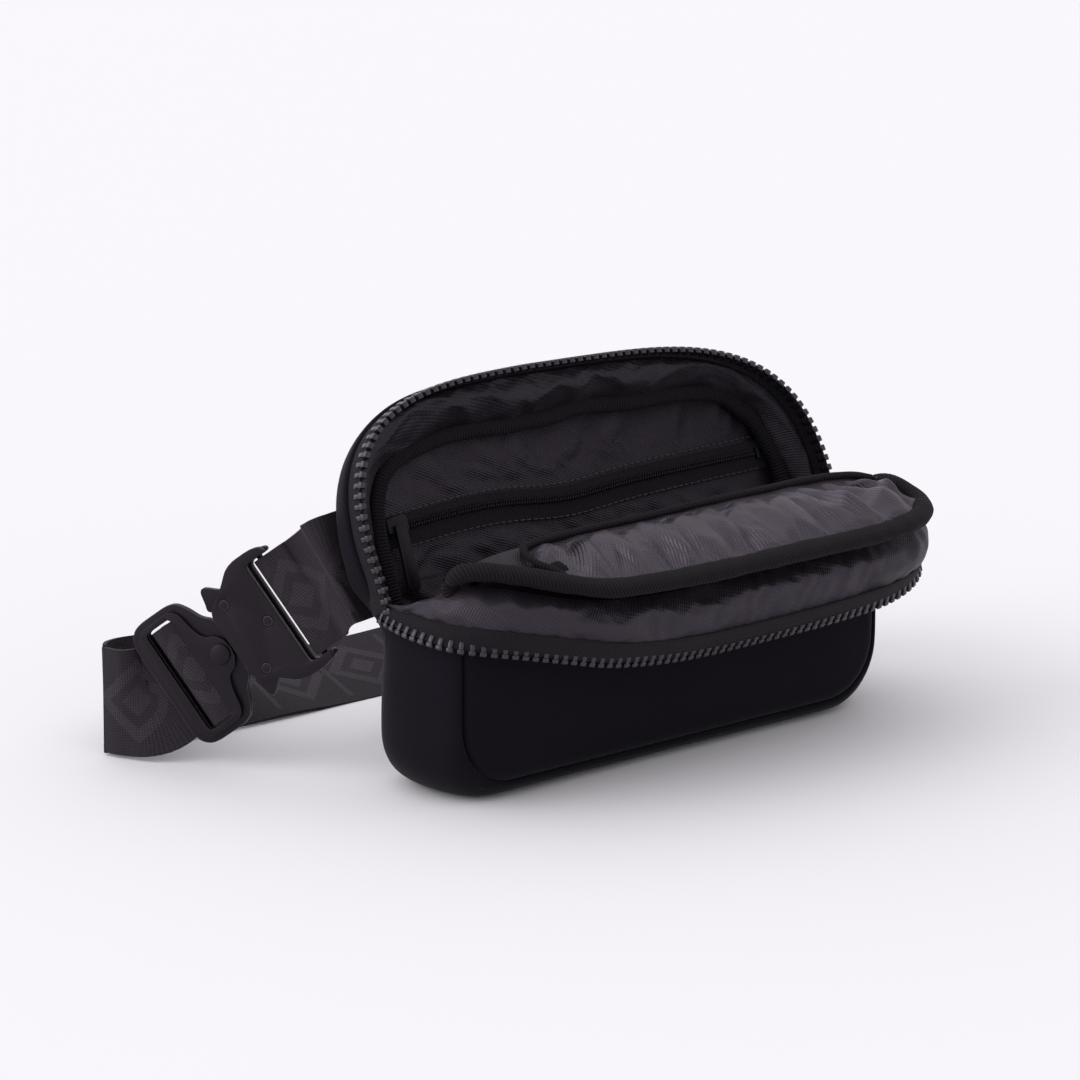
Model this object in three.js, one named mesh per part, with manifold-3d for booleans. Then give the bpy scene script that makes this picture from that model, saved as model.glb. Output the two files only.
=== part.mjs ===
// Belt bag standing open on its own base: lower body, leaning rear shell, front flap folded out,
// moulded main zip, inner zip pocket, webbing strap and a side-release metal buckle.
// Millimetres, +Z up, +X to the bag's right as its front is seen, -Y towards the front.
// The origin is on the floor under the zip plane, at the middle of the base.
import * as THREE from 'three';
import { mergeVertices } from 'three/addons/utils/BufferGeometryUtils.js';
import Module from 'manifold-3d';

const wasm = await Module();
wasm.setup();

// driving dimensions
const bagWidth = 212;
const zipEndHeight = 65; // both zip rows start here, above the floor
const sideTop = 57; // top of the lower side walls
const cornerRadius = 30; // lower corners of the gusset
const frontDepth = 34; // zip plane to front panel
const backDepth = 17; // zip plane to back panel
const skin = 3; // neoprene
const lining = 0.8;
const gap = 0.35; // running gap between neighbours
const archHeight = 74.5; // rear shell, along its own plane
const archLean = 21; // degrees back from upright
// the open shell slumps to its left, and its left shoulder is the squarer one
const archSlump = { side: 2.6, top: 0.026, swell: 4.8, leftPower: 2 / 4.6, rightPower: 2 / 3.2 };
const backArch = { width: 208, height: 67, swell: 2.2 };
const strapWidth = 40;
const strapThick = 1.6;
const buckleReach = 1.08; // buckle length factor along its axis

const v = (x, y, z) => new THREE.Vector3(x, y, z);
const v2 = (x, y) => new THREE.Vector2(x, y);
const bag = new THREE.Group();

const finish = (color, roughness, metalness = 0) =>
  new THREE.MeshStandardMaterial({ color, roughness, metalness });
const neoprene = finish(0x0d0d14, 0.85);
const satin = finish(0x1d1b24, 0.45);
const ribbed = finish(0x17161a, 0.8);
const tape = finish(0x18171b, 0.85);
const tooth = finish(0x1b1a1c, 0.45);
const webbing = finish(0x151417, 0.8);
const coated = finish(0x141314, 0.5, 0.6);
const coil = finish(0x121113, 0.5);

function place(parent, name, geometry, material) {
  const mesh = new THREE.Mesh(geometry, material);
  mesh.name = name;
  parent.add(mesh);
  return mesh;
}

// ---------- geometry helpers

function outward(geometry) {
  const p = geometry.attributes.position;
  const index = geometry.index.array;
  const a = v(), b = v(), c = v();
  let volume = 0;
  for (let i = 0; i < index.length; i += 3) {
    a.fromBufferAttribute(p, index[i]);
    b.fromBufferAttribute(p, index[i + 1]);
    c.fromBufferAttribute(p, index[i + 2]);
    volume += a.dot(b.cross(c));
  }
  if (volume < 0) {
    for (let i = 0; i < index.length; i += 3) {
      [index[i], index[i + 1]] = [index[i + 1], index[i]];
    }
  }
  geometry.computeVertexNormals();
  return geometry;
}

// a closed body through a row of equal rings, with fan caps
function loft(rings) {
  const n = rings[0].length;
  const points = rings.flat().flatMap((q) => [q.x, q.y, q.z]);
  const index = [];
  for (let r = 0; r + 1 < rings.length; r++) {
    for (let k = 0; k < n; k++) {
      const a = r * n + k;
      const b = r * n + ((k + 1) % n);
      index.push(a, b, b + n, a, b + n, a + n);
    }
  }
  const last = (rings.length - 1) * n;
  for (let k = 1; k + 1 < n; k++) {
    index.push(0, k + 1, k, last, last + k, last + k + 1);
  }
  const geometry = new THREE.BufferGeometry();
  geometry.setAttribute('position', new THREE.Float32BufferAttribute(points, 3));
  geometry.setIndex(index);
  return outward(geometry);
}

const smooth = (points, count) =>
  new THREE.CatmullRomCurve3(points, false, 'centripetal').getSpacedPoints(count - 1);

function tube(points, radius, steps, sides = 8) {
  const path = new THREE.CatmullRomCurve3(points, false, 'centripetal');
  const section = new THREE.Shape();
  section.absarc(0, 0, radius, 0, Math.PI * 2, false);
  return new THREE.ExtrudeGeometry(section, {
    steps, extrudePath: path, curveSegments: sides / 2, bevelEnabled: false,
  });
}

// a band that follows an outline in the XZ plane, from depth y0 to y1, its skin going inwards
function band(outline, y0, y1, inset, thick) {
  const rings = outline.map((p, i) => {
    const before = outline[Math.max(i - 1, 0)];
    const after = outline[Math.min(i + 1, outline.length - 1)];
    const t = after.clone().sub(before).normalize();
    const inward = v(t.z, 0, -t.x);
    const outer = p.clone().addScaledVector(inward, inset);
    const inner = p.clone().addScaledVector(inward, inset + thick);
    return [
      v(outer.x, y0, outer.z), v(outer.x, y1, outer.z), v(inner.x, y1, inner.z), v(inner.x, y0, inner.z),
    ];
  });
  return loft(rings);
}

// a strip between two matching edges, thick towards +Y
function strip(edgeA, edgeB, thick, count) {
  const a = smooth(edgeA, count);
  const b = smooth(edgeB, count);
  return loft(a.map((p, i) => {
    const back = v(0, thick, 0);
    return [p, b[i], b[i].clone().add(back), p.clone().add(back)];
  }));
}

// flat webbing: stations of centre and width direction, with a few rings between each two
function ribbon(stations, width, thick, between) {
  const count = (stations.length - 1) * between + 1;
  const follow = (points) => new THREE.CatmullRomCurve3(points, false, 'centripetal').getPoints(count - 1);
  const centres = follow(stations.map((s) => s[0]));
  const across = follow(stations.map((s) => s[1].clone().normalize()));
  return loft(centres.map((c, i) => {
    const before = centres[Math.max(i - 1, 0)];
    const after = centres[Math.min(i + 1, count - 1)];
    const t = after.clone().sub(before).normalize();
    const w = across[i].clone().addScaledVector(t, -across[i].dot(t)).normalize();
    const n = t.clone().cross(w);
    const at = (sw, sn) => c.clone().addScaledVector(w, sw * width / 2).addScaledVector(n, sn * thick / 2);
    return [at(1, 1), at(1, -1), at(-1, -1), at(-1, 1)];
  }));
}

function plate(outline, depth, holes = []) {
  const turned = THREE.ShapeUtils.isClockWise(outline) ? outline.slice().reverse() : outline;
  const shape = new THREE.Shape(turned);
  holes.forEach((h) => shape.holes.push(new THREE.Path(h)));
  return new THREE.ExtrudeGeometry(shape, { depth, bevelEnabled: false });
}

// an upright plate in the XZ plane from a 2-D outline (x, z), from depth y0 to y1
function upright(outline, y0, y1, holes = []) {
  const geometry = plate(outline, y1 - y0, holes);
  geometry.rotateX(Math.PI / 2);
  geometry.translate(0, y1, 0);
  return geometry;
}

function toSolid(geometry) {
  const bare = geometry.clone();
  bare.deleteAttribute('normal');
  bare.deleteAttribute('uv');
  const merged = mergeVertices(bare, 1e-4);
  return new wasm.Manifold(new wasm.Mesh({
    numProp: 3,
    vertProperties: Float32Array.from(merged.attributes.position.array),
    triVerts: Uint32Array.from(merged.index.array),
  }));
}

function fromSolid(solid) {
  const mesh = solid.getMesh();
  const geometry = new THREE.BufferGeometry();
  geometry.setAttribute('position', new THREE.Float32BufferAttribute(mesh.vertProperties, 3));
  geometry.setIndex(Array.from(mesh.triVerts));
  geometry.computeVertexNormals();
  return geometry;
}

const circle = (x, y, r, count = 12) => Array.from({ length: count }, (_, i) => {
  const t = i / count * Math.PI * 2;
  return v2(x + r * Math.cos(t), y + r * Math.sin(t));
});

// ---------- outlines

// lower U: down the left side, round both lower corners, up the right side
function lowerOutline(halfWidth, top, bottom, radius) {
  const points = [v(-halfWidth, 0, top)];
  for (let i = 0; i <= 8; i++) {
    const t = Math.PI + i * Math.PI / 16;
    points.push(v(-halfWidth + radius + radius * Math.cos(t), 0, bottom + radius + radius * Math.sin(t)));
  }
  for (let i = 0; i <= 8; i++) {
    const t = Math.PI * 1.5 + i * Math.PI / 16;
    points.push(v(halfWidth - radius + radius * Math.cos(t), 0, bottom + radius + radius * Math.sin(t)));
  }
  points.push(v(halfWidth, 0, top));
  return points;
}

const flat = (points) => points.map((p) => v2(p.x, p.z));

// upper arch: up the left side, over the crowned top, down the right side
function archOutline(width, height, from, count, inset = 0, swell = archSlump.swell) {
  const points = [];
  const lowest = Math.asin(Math.pow(from / height, 1.7));
  for (let i = 0; i <= 60; i++) {
    const t = lowest + (Math.PI - 2 * lowest) * i / 60;
    const c = Math.cos(t);
    const power = c > 0 ? archSlump.leftPower : archSlump.rightPower;
    const x = -Math.sign(c) * (width / 2 - inset) * Math.pow(Math.abs(c), power);
    const h = (height - inset) * Math.pow(Math.sin(t), 2 / 3.4);
    const settled = h - archSlump.top * Math.max(x + 20, 0) * h / height;
    const round = c > 0 ? swell * Math.pow(Math.sin(Math.PI * Math.min(h / height, 1)), 0.6) : 0;
    points.push(v(x - archSlump.side * h / height - round, 0, settled));
  }
  return smooth(points, count);
}

// ---------- lower body, a little narrower at the front seam and much narrower at the back

const halfWidth = bagWidth / 2;
const halfFront = 99.5;
const frontShift = -3; // the front sits a little to the left
const halfBack = 94;

// a band whose outline changes from front to back, its skin going inwards
function taperedBand(outlines, inset, thick) {
  const sections = outlines.map(([y, outline]) => outline.map((p, i) => {
    const before = outline[Math.max(i - 1, 0)];
    const t = outline[Math.min(i + 1, outline.length - 1)].clone().sub(before).normalize();
    const inward = v(-t.z, 0, t.x);
    return [inset, inset + thick].map((d) => p.clone().addScaledVector(inward, d).setY(y));
  }));
  return loft(sections[0].map((_, i) => [
    ...sections.map((s) => s[i][0]), ...sections.slice().reverse().map((s) => s[i][1]),
  ]));
}

function buildLowerBody() {
  const shifted = (outline) => outline.map((p) => p.clone().setX(p.x + frontShift));
  const sections = (grow) => [
    [-frontDepth + gap, shifted(lowerOutline(halfFront - grow, sideTop, grow, cornerRadius))],
    [-14, lowerOutline(halfWidth - grow, sideTop, grow, cornerRadius)],
    [0, lowerOutline(halfWidth - grow, sideTop, grow, cornerRadius)],
    [backDepth - skin - gap, lowerOutline(halfBack - grow, sideTop, grow, cornerRadius)],
  ];
  place(bag, 'gusset_lower', taperedBand(sections(0), 0, skin), neoprene);

  const frontTop = zipEndHeight - 1;
  const front = shifted(lowerOutline(halfFront - 3.5, frontTop, 3, cornerRadius - 6));
  place(bag, 'front_panel_lower', upright(flat(front), -frontDepth - skin, -frontDepth), neoprene);

  const back = lowerOutline(halfBack - 1, sideTop, 0.5, cornerRadius);
  place(bag, 'back_panel_lower', upright(flat(back), backDepth - skin, backDepth), neoprene);

  const wall = skin + 1.2;
  const tray = lowerOutline(halfBack - wall, sideTop - 1, wall, cornerRadius - wall);
  const inner = wall + lining;
  const hollow = lowerOutline(halfBack - inner, sideTop + 5, inner, cornerRadius - inner);
  const trayFront = -frontDepth + gap;
  const trayBack = backDepth - skin - gap;
  const shell = toSolid(upright(flat(tray), trayFront, trayBack))
    .subtract(toSolid(upright(flat(hollow), trayFront + lining, trayBack - lining)));
  place(bag, 'lining_lower', fromSolid(shell), satin);
}

// ---------- rear shell, built upright in its own plane and then leaned back

const rearShell = new THREE.Group();
rearShell.position.set(0, 0, zipEndHeight);
rearShell.rotation.x = -THREE.MathUtils.degToRad(archLean);
bag.add(rearShell);

function buildRearShell() {
  const rim = archOutline(bagWidth, archHeight, 9, 46);
  const seam = archOutline(backArch.width, backArch.height, 9, 46, 0, backArch.swell);
  const tapeRear = 1.6;
  place(rearShell, 'rear_teeth', band(rim, -6.6, -3.8, 0, 2.6), tooth);
  place(rearShell, 'rear_zip_tape', band(rim, -3.4, tapeRear, 0.7, 1.2), tape);

  const gusset = rim.map((p, i) => {
    const t = rim[Math.min(i + 1, 45)].clone().sub(rim[Math.max(i - 1, 0)]).normalize();
    const inward = v(t.z, 0, -t.x);
    const q = seam[i];
    const front = p.clone().setY(tapeRear + gap);
    const back = v(q.x, backDepth - skin - gap, q.z);
    const inside = [back, front].map((point) => point.clone().addScaledVector(inward, skin));
    return [front, back, ...inside];
  });
  place(rearShell, 'rear_gusset', loft(gusset), neoprene);

  const stripRings = rim.map((p, i) => {
    const t = rim[Math.min(i + 1, 45)].clone().sub(rim[Math.max(i - 1, 0)]).normalize();
    const inward = v(t.z, 0, -t.x);
    const front = p.clone().addScaledVector(inward, skin + 1).setY(2.4);
    const back = seam[i].clone().addScaledVector(inward, skin + 1).setY(9);
    const inside = [back, front].map((point) => point.clone().addScaledVector(inward, lining));
    return [front, back, ...inside];
  });
  place(rearShell, 'rear_gusset_lining', loft(stripRings), satin);

  const panel = archOutline(backArch.width, backArch.height, 9, 40, 0, backArch.swell);
  const panelShape = flat([v(-95, 0, 1.2), ...panel, v(95, 0, 1.2)]);
  place(rearShell, 'rear_panel_upper', upright(panelShape, backDepth - skin, backDepth), neoprene);

  const inner = archOutline(backArch.width, backArch.height, 9, 36, 5, backArch.swell);
  const innerShape = flat([v(-92, 0, 4), ...inner, v(92, 0, 4)]);
  const liningBack = backDepth - skin - gap;
  const pocketMouth = [v2(-90, 24.6), v2(-90, 31.4), v2(90, 31.4), v2(90, 24.6)];
  place(rearShell, 'rear_lining', upright(innerShape, liningBack - lining, liningBack, [pocketMouth]), satin);

  const sag = [
    v(-94.5, 8.6, 10), v(-94, 8.6, 26), v(-87.5, 8.6, 40), v(-76, 8.6, 48.5), v(-52, 8.6, 54),
    v(-12, 8.6, 55),
    v(20, 8.6, 55), v(52, 8.6, 53), v(72, 8.6, 47), v(84, 8.6, 37), v(91, 8.6, 25), v(92.5, 8.6, 10),
  ];
  place(rearShell, 'rear_binding', tube(sag, 2.2, 60), ribbed);
}

function buildPocketZip() {
  const coilAt = 28;
  const tapeBox = (name, low, high) => {
    const outline = [v2(-89.5, low), v2(89.5, low), v2(89.5, high), v2(-89.5, high)];
    place(rearShell, name, upright(outline, 11.6, 12.3), tape);
  };
  tapeBox('pocket_tape_lower', coilAt - 8, coilAt - 0.3);
  tapeBox('pocket_tape_upper', coilAt + 0.3, coilAt + 8);
  const coilPath = [-91, 0, 84].map((x) => v(x, 10.4, coilAt));
  place(rearShell, 'pocket_coil', tube(coilPath, 0.85, 12), coil);
  const stop = new THREE.BoxGeometry(2, 1.4, 4);
  stop.translate(85.8, 10.2, coilAt);
  place(rearShell, 'pocket_stop', stop, coated);

  const parked = -85.5;
  const slider = [v2(-4.5, -2.6), v2(3.2, -3.8), v2(4.5, -2.2), v2(4.5, 2.2), v2(3.2, 3.8), v2(-4.5, 2.6)];
  const body = upright(slider.map((p) => v2(p.x + parked, p.y + coilAt)), 7.7, 9.2);
  place(rearShell, 'pocket_slider', body, coated);
  const pull = [v2(-2.4, 0), v2(-2.9, -22), v2(-1.5, -24), v2(1.5, -24), v2(2.9, -22), v2(2.4, 0)];
  const hanging = upright(pull.map((p) => v2(p.x + parked, p.y + coilAt)), 6.1, 7.3);
  place(rearShell, 'pocket_pull', hanging, coated);
}

// ---------- front flap, folded forward and out

function buildFrontFlap() {
  // section of the folded panel: y, z, then how far it reaches to the left and to the right
  const section = [
    [-34.2, 68, 95, 98], [-33.6, 76, 94, 98], [-31.4, 82.6, 86, 92], [-34.5, 84.2, 84, 91],
    [-41, 81.6, 74, 91], [-49, 78, 57, 90], [-55, 75.2, 43, 83],
  ];
  const layer = (from, lift, thick, trim) => loft(section.slice(from).map(([y, z, left, right], i, all) => {
    const [y0, z0] = all[Math.max(i - 1, 0)];
    const [y1, z1] = all[Math.min(i + 1, all.length - 1)];
    const t = v2(y1 - y0, z1 - z0).normalize();
    const n = v2(t.y, -t.x);
    const out = v2(y + n.x * lift, z + n.y * lift);
    const far = v2(y + n.x * (lift + thick), z + n.y * (lift + thick));
    return [
      v(-left + trim, out.x, out.y), v(right - trim, out.x, out.y),
      v(right - trim, far.x, far.y), v(-left + trim, far.x, far.y),
    ];
  }));
  place(bag, 'front_panel_upper', layer(0, 0, -2.4, 0), neoprene);
  place(bag, 'front_lining', layer(3, gap, lining, 1), satin);
  place(bag, 'slip_pocket', layer(3, gap * 2 + lining, lining, 3), satin);

  const thick = [
    v(-99, -30, 82.5), v(-93, -36.5, 84), v(-82, -44, 82), v(-68, -52, 78.5), v(-54, -58, 75.6),
    v(-14, -62, 75),
    v(31, -63, 75.6), v(78, -61.5, 75.6), v(96, -56, 77), v(103, -49, 79), v(103.5, -41, 81.5),
    v(99, -34, 84.6),
  ];
  place(bag, 'front_binding', tube(thick, 3.2, 60), ribbed);
  const thin = [
    v(-92, -27.4, 82.5), v(-80, -27, 85.6), v(-58, -27.4, 87), v(-12, -27.4, 87.8), v(40, -27.4, 88.6),
    v(76, -28, 88.6), v(92, -29.5, 86.6),
  ];
  place(bag, 'pocket_edge_binding', tube(thin, 1.5, 48), ribbed);

  const top = [
    v(-99, -38, 76), v(-86, -48.5, 75), v(-66, -57, 71), v(-50, -61, 69), v(-14, -64, 68.6), v(31, -65, 69.4),
    v(80, -63.5, 69.6), v(99, -57.5, 71), v(106.5, -48, 73), v(107, -38, 74),
  ];
  const low = [
    v(-101, -41.5, 65), v(-86, -50.5, 62), v(-68, -56, 58), v(-52, -58.5, 54.6),
    v(-8, -58.5, 50.5), v(35, -58.5, 51),
    v(80, -57, 52.6), v(97, -53, 55.5), v(105, -47, 58), v(107.5, -41.5, 62),
  ];
  place(bag, 'front_gusset_lining', strip(top, low, lining, 44), satin);
  const behind = (points) => points.map((p) => v(p.x * 0.985, p.y + 2, p.z));
  place(bag, 'front_gusset_upper', strip(behind(top), behind(low), 2.2, 44), neoprene);

  const drop = (points, dy, dz) => points.map((p) => v(p.x, p.y + dy, p.z + dz));
  const tapeTop = drop(low, 0.4, -gap);
  const tapeLow = drop(low, 3, -4.6);
  place(bag, 'front_zip_tape', strip(tapeTop, tapeLow, 1.2, 44), tape);
  place(bag, 'front_teeth', tube(drop(low, 3.6, -6.8), 1.5, 60, 6), tooth);
}

// ---------- main zip ends and slider

function buildZipEnds() {
  const left = [v(-107.4, 1, 66), v(-107.2, -8, 65), v(-105.5, -26, 63)];
  place(bag, 'zip_end_left', tube(left, 1.6, 8, 6), tooth);
  const right = [v(107.4, -12, 65), v(106.6, -20, 64), v(106, -28, 63.2)];
  place(bag, 'zip_end_right', tube(right, 1.6, 6, 6), tooth);

  const outline = [v2(-7.5, -3.4), v2(5, -5.6), v2(7, -4), v2(7, 4), v2(5, 5.6), v2(-7.5, 3.4)];
  const body = upright(outline, 0, 7.4);
  body.rotateZ(Math.PI / 2);
  body.translate(113.2, -1, 64.5);
  place(bag, 'main_slider', body, coated);
  const ring = [
    v2(-3, 1.2), v2(-4, -8), v2(-4.6, -26), v2(-2.6, -29), v2(2.6, -29), v2(4.6, -26), v2(4, -8), v2(3, 1.2),
  ];
  const eye = [v2(-2, -0.6), v2(2, -0.6), v2(2.4, -6), v2(-2.4, -6)];
  const pull = upright(ring, 0, 1.6, [eye]);
  pull.rotateZ(Math.PI / 2);
  pull.translate(115.4, -1, 66);
  place(bag, 'main_pull', pull, coated);
}

// ---------- strap

const buckleAt = v(-128.6, 54.8, 45.4); // middle of the female half's front edge
const buckleAxis = v(0.438, -0.67, 0.6).normalize(); // towards the bag
const buckleAcross = v(-0.299, 0.521, 0.8);
buckleAcross.addScaledVector(buckleAxis, -buckleAcross.dot(buckleAxis)).normalize();
const buckleOut = buckleAxis.clone().cross(buckleAcross);
const onBuckle = (u, w, n) => buckleAt.clone()
  .addScaledVector(buckleAxis, u * buckleReach)
  .addScaledVector(buckleAcross, w)
  .addScaledVector(buckleOut, n);

function buildStrap() {
  const short = [
    [onBuckle(27, 0, 0), buckleAcross],
    [onBuckle(30, 0, 0), buckleAcross],
    [onBuckle(34, 0, 0), v(-0.2, 0.45, 0.86)],
    [v(-112.4, 20, 75.3), v(0.02, 0.27, 0.96)],
  ];
  place(bag, 'left_strap', ribbon(short, strapWidth, strapThick, 3), webbing);

  const standing = v(0, 0, 1);
  const lying = v(0, 0.95, 0.31);
  const floor = (x, y, across) => [v(x, y, strapWidth / 2 * across.z + 0.55 + 0.4 * Math.abs(across.y)), across];
  const run = [
    floor(-155, 97.5, standing), floor(-150, 100.2, v(0, 0.1, 0.99)), floor(-128, 102.5, v(0, 0.45, 0.89)),
    floor(-105, 107.5, v(0, 0.76, 0.65)), floor(-66, 111, lying), floor(0, 110.5, lying),
    floor(66, 102, v(0, 0.6, 0.8)), floor(103, 88, v(0, 0.18, 0.98)), floor(112, 76, standing),
    floor(104, 67, standing), floor(70, 64, standing), floor(-22, 64, standing), floor(-44, 61, standing),
    floor(-53, 53, standing), floor(-44, 45, standing), floor(-22, 42.5, standing), floor(40, 42.5, standing),
    [v(84, 43, 25), v(0.1, 0, 1)], [v(112, 43, 42), v(0.25, 0, 0.96)], [v(121, 34, 58), v(0.2, 0.1, 0.97)],
    [v(116, 24, 70), v(0, 0.22, 0.97)], [v(109.4, 19.5, 75.5), v(0, 0.27, 0.96)],
  ];
  place(bag, 'long_strap', ribbon(run, strapWidth, strapThick, 5), webbing);
  const lead = [
    [onBuckle(-32.5, 0, 0), buckleAcross], [onBuckle(-36.5, 0, 0), buckleAcross],
    [v(-152.4, 88.4, 20.7), v(-0.06, 0.1, 0.99)], [v(-154, 92.6, 20.6), standing],
  ];
  place(bag, 'strap_lead', ribbon(lead, strapWidth, strapThick, 3), webbing);
}

// ---------- buckle, in its own frame: x along the axis, y across, z out of its face

const buckle = new THREE.Group();
buckle.matrix.makeBasis(buckleAxis, buckleAcross, buckleOut).setPosition(buckleAt);
buckle.matrix.decompose(buckle.position, buckle.quaternion, buckle.scale);
bag.add(buckle);

// each corner of an outline becomes a short curve
function eased(outline, radius) {
  return outline.flatMap((p, i) => {
    const before = outline[(i + outline.length - 1) % outline.length];
    const after = outline[(i + 1) % outline.length];
    const cut = (q) => p.clone().lerp(q, Math.min(0.42, radius / p.distanceTo(q)));
    const curve = new THREE.QuadraticBezierCurve(cut(before), p, cut(after));
    return curve.getPoints(3);
  });
}
const reach = (points, radius = 2) => eased(points.map(([x, y]) => v2(x * buckleReach, y)), radius);
function mirrored(half) {
  const other = half.slice().reverse().filter(([, y]) => y > 0).map(([x, y]) => [x, -y]);
  return reach([...half, ...other]);
}

function level(outline, z0, z1, holes = []) {
  const geometry = plate(outline, z1 - z0, holes);
  geometry.translate(0, 0, z0);
  return geometry;
}

function buildFemale() {
  const outline = mirrored([
    [0, 12], [1.5, 14.5], [3, 15.5], [8, 18.5], [13.3, 23], [17, 24.1], [24, 24.1], [27.5, 23], [28.4, 21],
    [28, 20.4], [19.6, 20.4],
  ].reverse()).reverse();
  const pivots = [[6.4, 13.2], [6.4, -13.2], [17, 0]];
  const holes = pivots.map(([x, y]) => circle(x, y, 2.2));
  place(buckle, 'female_top_plate', level(outline, 1.5, 3.9, holes), coated);
  const inner = mirrored([
    [1, 11], [4, 15], [9, 18], [14, 22], [17, 23.2], [24, 23.2], [27, 22.4], [27.6, 21.3],
    [27, 20.4], [19.6, 20.4],
  ].reverse()).reverse();
  place(buckle, 'female_bottom_plate', level(inner, -3.9, -1.5, holes), coated);
  ['rivet_lever_upper', 'rivet_lever_lower', 'rivet_center'].forEach((name, i) => {
    const pin = new THREE.CylinderGeometry(1.9, 1.9, 8, 12);
    pin.rotateX(Math.PI / 2);
    pin.translate(pivots[i][0], pivots[i][1], 0);
    place(buckle, name, pin, coated);
  });
  const bar = new THREE.CylinderGeometry(1.15, 1.15, 44, 10);
  bar.translate(24.6 * buckleReach, 0, 0);
  place(buckle, 'female_bar', bar, coated);

  // levers: a ring on the rivet, a catch inwards and a thumb tab outwards
  const lever = reach([
    [-1.5, 14.5], [-0.5, 17.5], [0.2, 21.5], [1.6, 22.6], [3.2, 21.4], [6.2, 18.6], [9.2, 17.4], [15, 18.6],
    [15.2, 16.8], [9.6, 12.6], [7, 10.2], [4.4, 9.8], [2.4, 10.6], [1.2, 12.6],
  ]);
  const flipped = lever.map((p) => v2(p.x, -p.y)).reverse();
  place(buckle, 'lever_upper', level(lever, -1.1, 1.1, [circle(6.4, 13.2, 2.2)]), coated);
  place(buckle, 'lever_lower', level(flipped, -1.1, 1.1, [circle(6.4, -13.2, 2.2)]), coated);
  for (const [name, side] of [['spring_upper', 1], ['spring_lower', -1]]) {
    const wire = [v(13.2, 11.4, 0), v(13.8, 8.6, 0), v(12.6, 5.6, 0), v(13.9, 2.9, 0)]
      .map((p) => v(p.x, p.y * side, 0));
    place(buckle, name, tube(wire, 0.45, 12, 6), coated);
  }
}

function buildMale() {
  const outline = mirrored([
    [-30.5, 0], [-30.5, 18], [-29.6, 21.4], [-27, 24], [-23.5, 24.8], [-13, 24.8], [-9.5, 23.6], [-7, 20],
    [-4.6, 14.5], [-1.2, 11.5], [-1.2, 6.4], [6.8, 6.4], [9.6, 3.4], [9.6, 0],
  ]);
  const slot = reach([[-24, -20.4], [-13.3, -20.4], [-13.3, 20.4], [-24, 20.4]]);
  place(buckle, 'male_frame', level(outline, -1.1, 1.1, [slot]), coated);
  const cover = mirrored([
    [-27.5, 0], [-27.5, 17], [-26.6, 20], [-24.5, 22], [-20, 22.4], [-12.5, 22.4], [-10, 20],
    [-8.6, 12], [-7, 8],
    [-3.4, 6.4], [-1.4, 3.6], [-0.8, 0],
  ]);
  place(buckle, 'male_cover', level(cover, 1.4, 3.2, [slot]), coated);
  const dome = new THREE.LatheGeometry([v2(0, 0), v2(3.9, 0), v2(3.6, 0.7), v2(2.4, 1.3), v2(0, 1.6)], 16);
  dome.rotateX(Math.PI / 2);
  dome.translate(-5 * buckleReach, 0, 3.5);
  place(buckle, 'male_boss', dome, coated);
  const bar = new THREE.CylinderGeometry(1.4, 1.4, 39, 10);
  bar.translate(-17.6 * buckleReach, 0, 0.6);
  place(buckle, 'adjuster_bar', bar, coated);
}

buildLowerBody();
buildRearShell();
buildPocketZip();
buildFrontFlap();
buildZipEnds();
buildStrap();
buildFemale();
buildMale();

export default bag;
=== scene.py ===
# Belt bag standing open: neoprene body, leaning rear shell, folded front flap, satin lining, moulded
# zip, webbing strap and a side-release buckle. Lengths are millimetres, which the makers turn into
# metres.
import math

import bpy
import numpy as np
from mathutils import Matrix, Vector


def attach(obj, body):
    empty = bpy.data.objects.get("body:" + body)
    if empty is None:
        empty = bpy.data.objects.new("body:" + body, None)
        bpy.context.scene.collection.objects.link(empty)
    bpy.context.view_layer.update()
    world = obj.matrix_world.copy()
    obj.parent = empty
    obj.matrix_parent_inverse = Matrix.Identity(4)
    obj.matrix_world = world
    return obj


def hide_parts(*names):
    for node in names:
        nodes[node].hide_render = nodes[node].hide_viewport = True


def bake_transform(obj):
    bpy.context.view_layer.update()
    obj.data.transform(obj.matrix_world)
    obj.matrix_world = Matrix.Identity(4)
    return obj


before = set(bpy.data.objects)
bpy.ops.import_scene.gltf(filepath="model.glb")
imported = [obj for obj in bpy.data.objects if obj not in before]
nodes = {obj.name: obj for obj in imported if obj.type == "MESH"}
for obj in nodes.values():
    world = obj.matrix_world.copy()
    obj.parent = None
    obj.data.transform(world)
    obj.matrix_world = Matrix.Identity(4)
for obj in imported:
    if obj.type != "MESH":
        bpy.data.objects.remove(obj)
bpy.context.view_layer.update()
scene = bpy.context.scene
bpy.ops.object.select_all(action="DESELECT")
metre = 0.001

# ---- camera, light and floor

cameraSet = {
    "place": (-1018.875, -1171.523, 473.730),
    "aim": (-20.06, 18.82, 71.87),
    "lens": 150,
    "sensor": 36,
    "clip": (0.05, 60),
}
lightSet = {
    "keyStrength": 0.65,
    "keyAngle": 44,
    "keyTowards": (0.80, -0.28, -0.50),
    "keyColour": (1.0, 0.985, 1.0),
    "worldSteps": ((0.0, (0.84, 0.825, 0.85)), (0.4, (1.14, 1.12, 1.155)), (1.0, (1.68, 1.64, 1.71))),
    "worldFacing": (-0.6, 0.76, 0.2),  # the bright side of the room, behind the bag
    "floorColour": (0.815, 0.808, 0.825),
    "floorSize": 30,  # metres
}


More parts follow.
